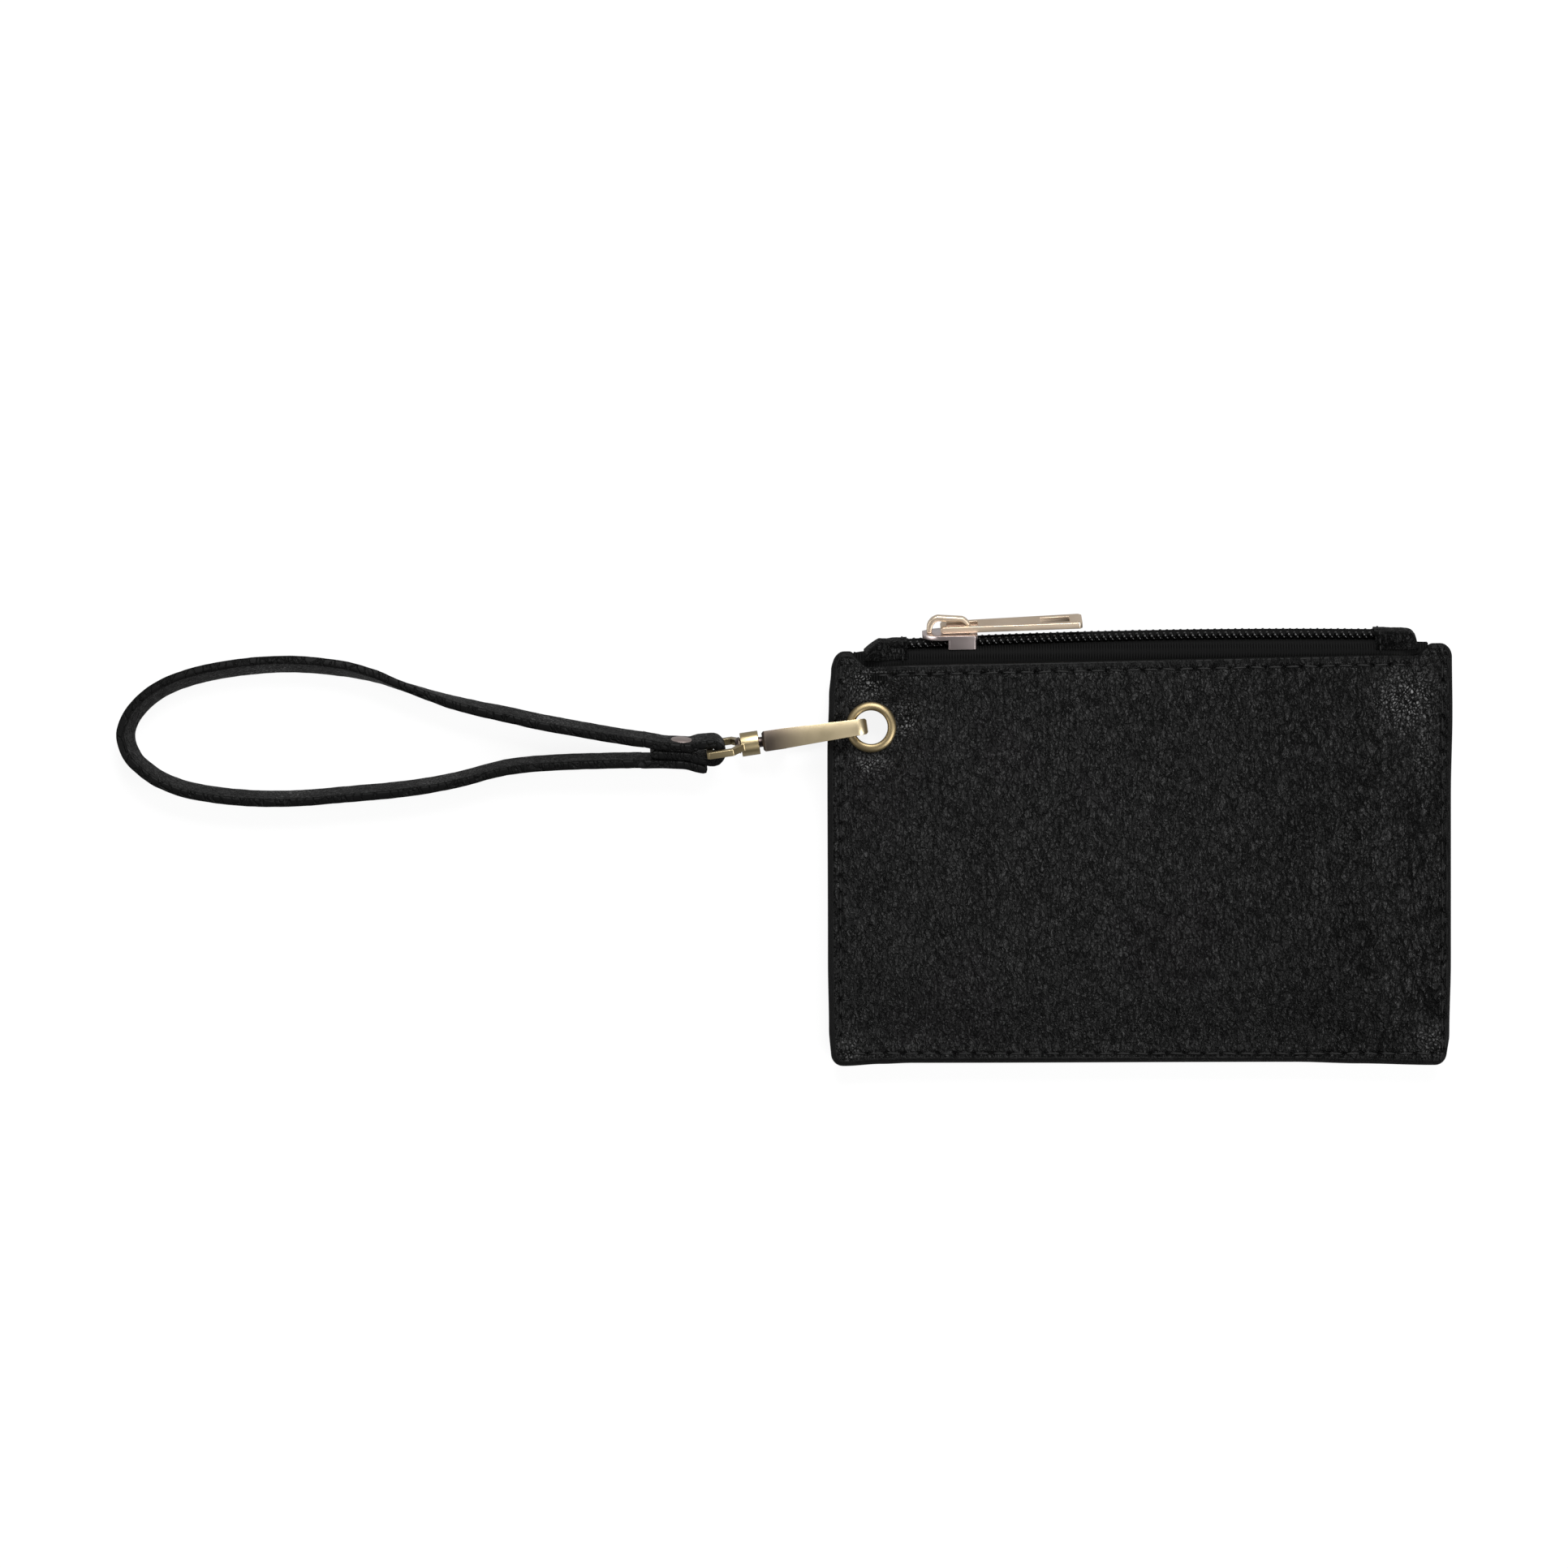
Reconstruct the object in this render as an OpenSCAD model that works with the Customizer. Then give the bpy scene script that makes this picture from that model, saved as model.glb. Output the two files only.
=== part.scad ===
// Wristlet wallet: a zipped pouch with an eyelet, a swivel snap hook and a wrist strap.
// It lies on its back: +X runs along the zip, +Y towards the zip, +Z out of the front panel.
// The origin is on the resting face, under the middle of the pouch. Sizes are in millimetres.

/* [Pouch] */
// Width of the pouch, along the zip
pouch_w = 120; // [108:1:150]
// Height of the pouch at its left edge, up to the top of the ear
pouch_h = 79.6; // [68:0.2:100]
// Thickness of the filled-out middle of the pouch
pouch_t = 9.6; // [9.2:0.1:11]
// Rise of the mouth edge and the zip towards the right, in degrees
top_slope = 1.2; // [0:0.1:1.5]
// Rise from the left ear to the right ear, in degrees
ear_slope = 0.8; // [0:0.1:1.5]
// Thickness of the outer skin
skin_t = 0.8; // [0.6:0.1:1]
// Thickness of the stiffener board behind the skin
stiffener_t = 0.4; // [0.2:0.1:0.5]
// Thickness of the lining cloth
lining_t = 0.2; // [0.1:0.05:0.3]
// Width of the flat sewn margin round the pouch
margin_w = 4; // [3.4:0.1:5]
// Slope of the filled-out sides, in degrees
side_slope = 35; // [30:1:50]
// Corner radius of the panels
corner_r = 2.5; // [1.5:0.1:4]
// Width of the ears beside the mouth
ear_w = 4.2; // [3.6:0.1:5]
// Height of the ears above the mouth edge
ear_rise = 2.9; // [1.5:0.1:3.5]

/* [Seams] */
// Length of one stitch
stitch_len = 2.5; // [2:0.1:2.8]
// Distance from one stitch to the next
stitch_pitch = 3.4; // [3.2:0.1:4]
// Thread thickness
thread_d = 0.25; // [0.15:0.05:0.3]
// Width of the stitch groove
groove_w = 0.5; // [0.4:0.05:0.6]
// Distance from the panel edge to the stitch line
stitch_inset = 2; // [1.6:0.1:2.4]

/* [Zip] */
// Lean of the zip towards the front, in degrees
zip_lean = 16; // [10:1:20]
// Height of the coil centre above the mouth edge
zip_rise = 4.3; // [4.2:0.1:6]
// Width of the closed coil
coil_w = 4.6; // [4.2:0.1:5]
// Thickness of the coil
coil_t = 1.8; // [1.4:0.1:1.9]
// Distance from one coil turn to the next
coil_pitch = 1.32; // [1.2:0.01:1.5]
// Thickness of the woven tape
tape_t = 0.4; // [0.3:0.05:0.5]
// Length of the leather tab over each zip end
tab_len = 7.8; // [6:0.1:9]
// Thickness of the tab leather
tab_t = 0.65; // [0.5:0.05:0.7]
// Length of the slider body
slider_len = 10.6; // [9:0.1:12]
// Length of the pull, from its crossbar to its end
pull_len = 26.7; // [20:0.1:32]
// Width of the pull at its free end
pull_w = 5.2; // [4.6:0.1:6]
// Thickness of the pull
pull_t = 1.2; // [1:0.1:1.4]

/* [Eyelet] */
// Distance from the left edge to the eyelet centre
eyelet_from_side = 8; // [7.5:0.1:9]
// Distance from the ear top down to the eyelet centre
eyelet_from_top = 14.6; // [13:0.1:24]
// Radius of the eyelet hole
eyelet_r = 3.25; // [3.1:0.05:3.6]
// Outer radius of the eyelet flange
eyelet_flange_r = 4.9; // [4.6:0.1:5.6]

/* [Snap hook] */
// Angle of the hook from the zip direction, in degrees
hook_angle = 8.5; // [0:0.5:12]
// Length of the hook, from the nose centre to its base end
hook_len = 19.6; // [18:0.1:24]
// Width of the hook at its base
hook_base_w = 3.9; // [3.6:0.1:5]
// Width of the hook at its nose
hook_nose_w = 3; // [2.6:0.1:3.1]
// Radius of the swivel post
post_r = 1; // [0.8:0.05:1.1]
// Width inside the D ring
dring_inner_w = 7; // [6.9:0.1:7.2]
// Diameter of the D ring wire
dring_wire_d = 1.3; // [1.1:0.1:1.4]

/* [Strap] */
// Width of the wrist strap
strap_w = 6.5; // [5.5:0.1:6.6]
// Thickness of the wrist strap
strap_t = 1.7; // [1.3:0.1:1.7]
// Radius of the rivet caps
rivet_cap_r = 2.9; // [2.4:0.1:3.1]
// Radius of the rivet shank
rivet_shank_r = 1.2; // [1:0.1:1.4]

/* [Hidden] */

// Pouch, derived
half_w = pouch_w / 2;
half_h = 40;                                  // the bottom edge lies at -half_h
side_t = skin_t + stiffener_t + lining_t;     // one side of the pouch, all layers
mid_z = pouch_t / 2;                          // plane where the two sides are sewn together
ear_y = pouch_h - half_h;                     // top of the left ear
mouth_y = ear_y - ear_rise + half_w * tan(top_slope);  // mouth edge at X = 0
ear_curve = 2.8;                              // length of the curve from ear to mouth
stiffener_inset = 0.5;
lining_inset = 0.3;
groove_d = 0.3;
fit_gap = 0.05;                               // between soft layers that rest on each other
far = 400;                                    // longer than anything here
through = 1;                                  // how far a cut runs past a face
fine = 64;

// Zip, derived
slot_half = 0.55;                             // half the slit that the slider's wedge runs in
rail_w = 1.1;
tooth_w = 0.62;
tape_reach = 3.6;                             // from the coil centre to the bend of the tape
tape_depth = 3;                               // how far the tape runs down inside the mouth
cavity_half = pouch_t / 2 - side_t;
tab_x = half_w - ear_w - ear_curve - 0.2;     // outer end of each zip tab
tab_foot = 0.12;                              // mouth edge to the foot of a tab
zip_half = tab_x - 3.2;                       // half the length of coil and tape
plate_t = 0.8;
plate_gap = 0.2;                              // coil to slider plate
flange_t = 0.9;
slider_half_w = coil_w / 2 + plate_gap + flange_t;
slider_x = -tab_x + tab_len + slider_len / 2 + 3;
plate_top = coil_t / 2 + plate_gap + plate_t; // top face of the slider's upper plate
bail_w = 1.8;
pull_axis_x = slider_x - 1.2;
pull_gap = 0.35;
pull_axis_v = plate_top + pull_gap + pull_t / 2;
pull_slot_len = 6;
pull_slot_w = 2.4;
pull_root_w = 3.8;                            // width of the pull beside the bail
pull_lift = 1.5;                              // how the resting pull rises towards its free end, in degrees
pull_roll = 6;                                // how the resting pull turns towards the front, in degrees
window_len = 5.6;
window_w = 2.8;

// Eyelet, derived
eyelet_x = -half_w + eyelet_from_side;
eyelet_y = ear_y - eyelet_from_top;
barrel_t = 0.35;
eyelet_flange_t = 0.6;
washer_t = 0.45;
dimple_r = eyelet_flange_r + 2.6;             // flat ground round the eyelet
seam_half = side_t;                           // half the sewn margin's thickness

// Hook, derived
nose_x = eyelet_x - 1.5;
nose_y = eyelet_y + 0.1;
hook_z = mid_z;
arm_t = 1.6;
nose_t = arm_t;
arm_z = seam_half + eyelet_flange_t + 0.3;    // underside of the front arm, above hook_z
hook_low = -mid_z + 0.3;                      // lowest face of the hook
gate_t = 0.9;
gate_gap = 0.1;
gate_z = hook_low + 0.3;                      // underside of the gate
lip_len = 0.9;
base_t = 2.4;
cheek_len = 4.4;
cheek_t = 0.9;
pin_r = 0.4;
pin_gap = 0.05;
pin_x = -hook_len + 3.2;
pin_z = gate_z + gate_t / 2;
knuckle_r = 0.85;
post_gap = 0.06;
boss_x = -hook_len - 0.7;                     // hook side of the swivel boss
boss_len = 3.5;
boss_r = 2.3;
post_head_r = 1.7;
post_head_t = 0.9;
bar_x = -hook_len - 10.3;                     // D ring bar, where the strap turns
dring_lean = 16;
dring_half = dring_inner_w / 2 + dring_wire_d / 2;

// Strap, derived
strap_angle = -4;
bar_point = [nose_x + bar_x * cos(hook_angle), nose_y + bar_x * sin(hook_angle), hook_z];
layer = strap_t + 0.02;                       // from one strap layer to the next at the rivet
rivet_p = -5.5;                               // rivet, along the strap from the bar
rivet_q = -0.9;                               // middle layer at the rivet
fold_p = 0.05;
fold_q = 0.05;
fold_r = 1.9;
cap_t = 0.6;

// ---- Pouch ----

function arc(cx, cy, r, a0, a1, n = 6) =
    [for (i = [0 : n]) [cx + r * cos(a0 + (a1 - a0) * i / n), cy + r * sin(a0 + (a1 - a0) * i / n)]];

function lifted(points) = [for (p = points) [p.x, p.y + (p.x + half_w) * tan(ear_slope)]];

// The dip from an ear down to the mouth edge, for the right side (side = 1) or the left side (side = -1)
function ear_dip(side, d, n = 8) =
    [for (i = [0 : n])
        let (k = side > 0 ? i / n : 1 - i / n, drop = (1 - cos(180 * k)) / 2,
             x = side * (half_w - ear_w + d - ear_curve * k),
             ear = ear_y + (x + half_w) * tan(ear_slope), mouth = mouth_y + x * tan(top_slope))
        [x, ear + (mouth - ear) * drop - d]];

// Panel outline, moved inwards by d
function panel_points(d) = concat(
    arc(-half_w + corner_r, -half_h + corner_r, corner_r - d, 180, 270),
    arc(half_w - corner_r, -half_h + corner_r, corner_r - d, 270, 360),
    lifted(arc(half_w - corner_r * 0.7, ear_y - corner_r * 0.7, corner_r * 0.7 - d, 0, 90)),
    ear_dip(1, d),
    ear_dip(-1, d),
    lifted(arc(-half_w + corner_r * 0.7, ear_y - corner_r * 0.7, corner_r * 0.7 - d, 90, 180)));

module eyelet_at(z = 0) {
    translate([eyelet_x, eyelet_y, z]) children();
}

// Takes away what lies above a plane that rises from the given edge point
module above_slope(depth) {
    translate([-far / 2, 0, -depth]) cube([far, far, far]);
}

// The filled-out body of the front half, sunk below its outer surface by depth, from z = low up;
// it ends mouth_in short of the mouth edge
module dome(depth, low, mouth_in) {
    mouth_l = mouth_y - mouth_in - half_w * tan(top_slope);
    mouth_r = mouth_y - mouth_in + half_w * tan(top_slope);
    run = margin_w - 1;
    difference() {
        translate([0, 0, low])
            linear_extrude(mid_z + pouch_t / 2 - depth - low)
                polygon([[-half_w + run, -half_h + run], [half_w - run, -half_h + run],
                         [half_w - run, mouth_r], [-half_w + run, mouth_l]]);
        translate([0, -half_h + margin_w, mid_z + side_t])
            rotate([side_slope, 0, 0])
                translate([0, -far / 2, 0]) above_slope(depth);
        for (side = [-1, 1])
            translate([side * (half_w - margin_w), 0, mid_z + side_t])
                rotate([0, side * side_slope, 0])
                    translate([0, -far / 2, 0]) above_slope(depth);
        eyelet_at(-far / 2) cylinder(r = dimple_r + depth, h = far, $fn = fine);
    }
}

// One layer of the front half: depth below the outer surface, thickness, and inset from the edge
module side_layer(depth, thick, inset) {
    plate_z = mid_z + side_t - depth - thick;
    difference() {
        union() {
            translate([0, 0, plate_z]) linear_extrude(thick) polygon(panel_points(inset));
            dome(depth, plate_z, inset);
        }
        dome(depth + thick, plate_z - through, -fit_gap);
        eyelet_at(-far / 2) cylinder(r = eyelet_r + barrel_t, h = far, $fn = fine);
    }
}

// The back half is the front half turned over about the sewn plane
module to_back() {
    translate([0, 0, 2 * mid_z]) mirror([0, 0, 1]) children();
}

// Follows the mouth edge: X along it, Y across it
module along_mouth() {
    translate([0, mouth_y, 0]) rotate([0, 0, top_slope]) children();
}

module stitch_grooves() {
    low = -half_h + stitch_inset - groove_w / 2;
    reach = side_stitches * stitch_pitch;
    translate([0, 0, mid_z + side_t - groove_d]) {
        for (side = [-1, 1])
            translate([side * (half_w - stitch_inset) - groove_w / 2, side_row_y - reach / 2, 0])
                cube([groove_w, reach, groove_d + through]);
        translate([-half_w + stitch_inset + 1, low, 0])
            cube([pouch_w - 2 * stitch_inset - 2, groove_w, groove_d + through]);
    }
    along_mouth()
        translate([-mouth_seam_half - 1, -stitch_inset - groove_w / 2, 2 * mid_z - groove_d])
            cube([2 * mouth_seam_half + 2, groove_w, groove_d + through]);
}

module skin() {
    difference() {
        side_layer(0, skin_t, 0);
        stitch_grooves();
    }
}

// ---- Seams ----

mouth_seam_half = half_w - margin_w - 7;
side_stitches = floor((pouch_h - 4.5) / stitch_pitch);
side_row_y = ear_y - pouch_h / 2;
bottom_stitches = floor((pouch_w - 7) / stitch_pitch);
mouth_stitches = floor(2 * mouth_seam_half / stitch_pitch);

module stitch() {
    translate([-stitch_len / 2, -groove_w / 2 + fit_gap, 0])
        cube([stitch_len, groove_w - 2 * fit_gap, thread_d]);
}

module stitch_row(count) {
    for (i = [0 : count - 1]) translate([(i - (count - 1) / 2) * stitch_pitch, 0, 0]) stitch();
}

module seam_thread() {
    translate([0, 0, mid_z + side_t - groove_d]) {
        for (side = [-1, 1])
            translate([side * (half_w - stitch_inset), side_row_y, 0])
                rotate([0, 0, 90]) stitch_row(side_stitches);
        translate([0, -half_h + stitch_inset, 0]) stitch_row(bottom_stitches);
    }
}

module mouth_thread() {
    along_mouth() translate([0, -stitch_inset, 2 * mid_z - groove_d]) stitch_row(mouth_stitches);
}

// ---- Zip ----

// Zip frame: X along the zip, Y out of the coil's face, Z across it towards the front
module on_zip() {
    along_mouth() translate([0, zip_rise, mid_z]) rotate([zip_lean, 0, 0]) children();
}

// A point of the zip frame, v out of the coil and u across it, as [y, z] beside the mouth edge
function across(v, u) = [zip_rise + v * cos(zip_lean) - u * sin(zip_lean),
                         mid_z + v * sin(zip_lean) + u * cos(zip_lean)];

// Extrudes a [y, z] profile along the mouth, from x0 to x1
module along_zip(points, x0, x1) {
    along_mouth()
        translate([x0, 0, 0]) rotate([90, 0, 90]) linear_extrude(x1 - x0) polygon(points);
}

// Cross-section of one tape; side is 1 for the front, -1 for the back
function tape_points(side) =
    let (out = mid_z + side * (cavity_half - fit_gap), inner = out - side * tape_t,
         v0 = -coil_t / 2, v1 = -coil_t / 2 - tape_t)
    [across(v0, side * (slot_half + 0.05)), across(v0, side * tape_reach), [0.7, out], [-tape_depth, out],
     [-tape_depth, inner], [0.7, inner], across(v1, side * (tape_reach - tape_t)),
     across(v1, side * (slot_half + 0.05))];

module zip_tape(side) {
    along_zip(tape_points(side), -zip_half, zip_half);
}

// One row of coil turns, drawn as a comb whose teeth stop at the slit
function comb_points(side) =
    let (n = floor((2 * zip_half - 1) / coil_pitch), x0 = -n * coil_pitch / 2, shift = side * coil_pitch / 4)
    concat(
        [[-zip_half, side * coil_w / 2], [-zip_half, side * (coil_w / 2 - rail_w)]],
        [for (i = [0 : n - 1], k = [0 : 3])
            let (x = x0 + (i + 0.5) * coil_pitch + shift + (k < 2 ? -tooth_w / 2 : tooth_w / 2))
            [x, side * (k == 0 || k == 3 ? coil_w / 2 - rail_w : slot_half)]],
        [[zip_half, side * (coil_w / 2 - rail_w)], [zip_half, side * coil_w / 2]]);

// A plate in the zip frame: outline in X and across (u), from v0 to v1
module zip_plate(points, v0, v1) {
    translate([0, v0, 0]) rotate([-90, 0, 0]) linear_extrude(v1 - v0) polygon([for (p = points) [p.x, -p.y]]);
}

module zip_coil(side) {
    on_zip() zip_plate(comb_points(side), -coil_t / 2, coil_t / 2);
}

// Both sides of a profile that is symmetric about the coil's middle plane
function both_sides(points) = concat(points, [for (i = [len(points) - 1 : -1 : 0]) [points[i].x, -points[i].y]]);

function tab_profile(extra) =
    let (top = coil_t / 2 + plate_gap / 2 + extra, reach = tape_reach + fit_gap + extra,
         shoulder = coil_w / 2 + 0.4 + extra)
    concat(
        [[tab_foot, mid_z + cavity_half - fit_gap + extra], across(-coil_t / 2 + 0.1, reach)],
        [across(0.25 + extra / 2, shoulder), across(top, coil_w / 2 + 0.05)],
        [across(top, -coil_w / 2 - 0.05), across(0.25 + extra / 2, -shoulder)],
        [across(-coil_t / 2 + 0.1, -reach), [tab_foot, mid_z - cavity_half + fit_gap - extra]]);

// Leather tab folded over one end of the zip; it stands on the mouth edge and is hollow over the zip
module zip_tab(side) {
    end = side * tab_x;
    inner = side * (tab_x - tab_len);
    wall = side * (tab_x - 1.6);
    slant = 58;
    difference() {
        along_zip(tab_profile(tab_t), min(end, inner), max(end, inner));
        along_mouth()
            translate([min(wall, inner) - (side > 0 ? through : 0), 0, 0])
                rotate([90, 0, 90])
                    linear_extrude(abs(wall - inner) + through)
                        polygon(concat([[-through, mid_z + cavity_half - fit_gap + fit_gap]],
                                       tab_profile(fit_gap),
                                       [[-through, mid_z - cavity_half + fit_gap - fit_gap]]));
        along_mouth()
            translate([end, 0, 0])
                mirror([side > 0 ? 1 : 0, 0, 0])
                    rotate([0, 0, slant]) translate([-far / 2, 0, -far / 2]) cube([far, far, far]);
    }
}

module slider_body() {
    on_zip() translate([slider_x, 0, 0]) {
        half = slider_len / 2;
        upper = [[-half, 1.5], [-half + 1.6, slider_half_w - 0.5], [-half + 3.2, slider_half_w],
                 [half - 0.5, slider_half_w], [half, slider_half_w - 0.5]];
        lower = [[-half + 0.4, 1.2], [-half + 2, coil_w / 2 + 0.3], [half - 0.4, coil_w / 2 + 0.3]];
        zip_plate(both_sides(upper), plate_top - plate_t, plate_top);
        zip_plate(both_sides(lower), -coil_t / 2 - tape_t - 0.3 - plate_t, -coil_t / 2 - tape_t - 0.3);
        for (side = [-1, 1])
            zip_plate([[-0.4, side * (slider_half_w - flange_t)], [half - 0.3, side * (slider_half_w - flange_t)],
                       [half - 0.3, side * (slider_half_w - 0.25)], [half - 0.6, side * slider_half_w],
                       [0, side * slider_half_w], [-0.4, side * (slider_half_w - 0.25)]],
                      -coil_t / 2 + 0.15, plate_top - plate_t / 2);
        translate([-half + 0.9, -coil_t / 2 - tape_t - 0.5, -slot_half + 0.1])
            cube([2.4, plate_top + coil_t / 2 + tape_t, 2 * slot_half - 0.2]);
    }
}

// The arch on the slider that holds the pull
module slider_bail() {
    outer = concat([[-4.5, 0]], arc(-1.9, 0.9, 2.55, 165, 100, 5), arc(1.6, 0.7, 2.5, 70, 5, 5), [[4.1, 0]]);
    inner = concat([[3.2, 0]], arc(1.5, 0.6, 1.65, 0, 75, 5), arc(-1.8, 0.8, 1.6, 105, 165, 5), [[-3.5, 0]]);
    on_zip() translate([slider_x, plate_top, -bail_w / 2])
        linear_extrude(bail_w) polygon(concat(outer, inner));
}

module pull_tab() {
    half_arm = pull_t / 2;
    on_zip() translate([pull_axis_x, pull_axis_v, 0]) rotate([0, 0, pull_lift]) rotate([pull_roll, 0, 0]) {
        difference() {
            union() {
                zip_plate(both_sides([[0, pull_root_w / 2], [pull_len - 0.5, pull_w / 2], [pull_len, pull_w / 2 - 0.5]]),
                          -half_arm, half_arm);
                cylinder(r = half_arm, h = pull_root_w, center = true, $fn = fine);
            }
            translate([half_arm, -far / 2, -pull_slot_w / 2]) cube([pull_slot_len, far, pull_slot_w]);
            translate([pull_len - 2.4 - window_len, -far / 2, -window_w / 2]) cube([window_len, far, window_w]);
        }
    }
}

// ---- Eyelet ----

// Rounded flange ring that rises from z = 0
module ring(inner, outer, height) {
    rotate_extrude($fn = fine)
        polygon(concat([[inner, 0], [outer, 0], [outer, height * 0.35]],
                       [[outer - height * 0.35, height * 0.85], [outer - height * 0.9, height],
                        [inner + height * 0.6, height], [inner, height * 0.6]]));
}

module eyelet_barrel() {
    eyelet_at(mid_z + side_t) ring(eyelet_r, eyelet_flange_r, eyelet_flange_t);
    eyelet_at(mid_z - side_t - washer_t - 0.1)
        difference() {
            cylinder(r = eyelet_r + barrel_t, h = 2 * side_t + washer_t + 0.1 + eyelet_flange_t / 3, $fn = fine);
            translate([0, 0, -through]) cylinder(r = eyelet_r, h = far, $fn = fine);
        }
}

module eyelet_washer() {
    eyelet_at(mid_z - side_t) mirror([0, 0, 1]) ring(eyelet_r + barrel_t, eyelet_flange_r - 0.1, washer_t);
}

// ---- Snap hook ----

// Hook frame: X from the strap towards the nose, origin in the middle of the nose bar
module on_hook() {
    translate([nose_x, nose_y, hook_z]) rotate([0, 0, hook_angle]) children();
}

// A bar across the hook, given by its [x, z] side outline and its width
module hook_slab(points, width) {
    translate([0, width / 2, 0]) rotate([90, 0, 0]) linear_extrude(width) polygon(points);
}

// Side outline of the hook: base, front arm, rounded nose and the lip that the gate shuts on
bend_x = -nose_t / 2 - 0.4;
bend_z = arm_z - 0.4;
hook_side = concat(
    [[-hook_len, hook_low], [-hook_len + cheek_len, hook_low], [-hook_len + cheek_len, pin_z + knuckle_r + 0.5],
     [-hook_len + base_t, pin_z + knuckle_r + 1.8], [-hook_len + base_t, arm_z]],
    arc(bend_x, bend_z, 0.4, 90, 0),
    [[-nose_t / 2, gate_z + 0.15], [-nose_t / 2 - lip_len, gate_z + 0.15], [-nose_t / 2 - lip_len, hook_low]],
    arc(nose_t / 2 - 0.5, hook_low + 0.5, 0.5, 270, 360),
    arc(bend_x, bend_z, 0.4 + arm_t, 0, 90),
    [[-hook_len + 0.5, arm_z + arm_t], [-hook_len, arm_z + arm_t - 0.5]]);

module hook_frame() {
    corner = 0.35;
    on_hook() difference() {
        intersection() {
            hook_slab(hook_side, hook_base_w);
            // Plan: tapers from the base to the nose
            translate([0, 0, hook_low - through])
                linear_extrude(arm_z + arm_t - hook_low + 2 * through)
                    polygon([[-hook_len, -hook_base_w / 2 + corner], [-hook_len + corner, -hook_base_w / 2],
                             [-hook_len + cheek_len, -hook_base_w / 2], [nose_t / 2 - corner, -hook_nose_w / 2],
                             [nose_t / 2, -hook_nose_w / 2 + corner], [nose_t / 2, hook_nose_w / 2 - corner],
                             [nose_t / 2 - corner, hook_nose_w / 2], [-hook_len + cheek_len, hook_base_w / 2],
                             [-hook_len + corner, hook_base_w / 2], [-hook_len, hook_base_w / 2 - corner]]);
        }
        // Slot between the cheeks
        translate([-hook_len + 1.9, -hook_base_w / 2 + cheek_t, hook_low - through])
            cube([cheek_len, hook_base_w - 2 * cheek_t, pin_z + knuckle_r + 0.3 - hook_low + through]);
        translate([pin_x, 0, pin_z]) rotate([90, 0, 0]) cylinder(r = pin_r, h = far, center = true, $fn = fine);
        translate([-hook_len - through, 0, 0]) rotate([0, 90, 0])
            cylinder(r = post_r, h = base_t + 2 * through, $fn = fine);
    }
}

// Post that the swivel turns on, riveted in the hook's base
module swivel_post() {
    on_hook() rotate([0, 90, 0]) {
        translate([0, 0, -hook_len - 0.7 - boss_len - post_gap - 0.1])
            cylinder(r = post_r, h = 0.7 + boss_len + post_gap + 0.1 + base_t, $fn = fine);
        translate([0, 0, boss_x - boss_len - post_gap - 0.1 - post_head_t])
            cylinder(r1 = post_head_r * 0.7, r2 = post_head_r, h = post_head_t, $fn = fine);
    }
}

module gate_pin() {
    on_hook() translate([pin_x, 0, pin_z]) rotate([90, 0, 0])
        cylinder(r = pin_r, h = hook_base_w, center = true, $fn = fine);
}

// Torsion spring beside the gate's knuckle
module gate_spring() {
    wire = 0.11;
    coil = pin_r + wire + 0.08;
    turns = 2.25;
    steps = 36;
    sides = 6;
    pitch = 2 * wire + 0.03;
    start_y = hook_base_w / 2 - cheek_t - 0.1 - 2 * wire - turns * pitch;
    path = concat(
        [[coil, wire, -0.6]],
        [for (i = [0 : steps]) let (a = 360 * turns * i / steps)
            [coil * cos(a), wire + pitch * turns * i / steps, coil * sin(a)]]);
    points = [for (i = [0 : len(path) - 1], k = [0 : sides - 1])
        let (before = path[max(i - 1, 0)], after = path[min(i + 1, len(path) - 1)],
             t = (after - before) / norm(after - before),
             n0 = cross(t, [0, 1, 0]), n = n0 / norm(n0), b = cross(t, n), a = 360 * k / sides)
        path[i] + wire * (cos(a) * n + sin(a) * b)];
    on_hook() translate([pin_x, start_y, pin_z])
        tube(points, len(path), sides);
}

// Closed tube from rings of points that follow each other
module tube(points, rings, sides) {
    polyhedron(points, concat(
        [[for (k = [0 : sides - 1]) k]],
        [for (i = [0 : rings - 2], k = [0 : sides - 1])
            [i * sides + k, (i + 1) * sides + k, i * sides + (k + 1) % sides]],
        [for (i = [0 : rings - 2], k = [0 : sides - 1])
            [(i + 1) * sides + k, (i + 1) * sides + (k + 1) % sides, i * sides + (k + 1) % sides]],
        [[for (k = [sides - 1 : -1 : 0]) (rings - 1) * sides + k]]));
}

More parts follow.
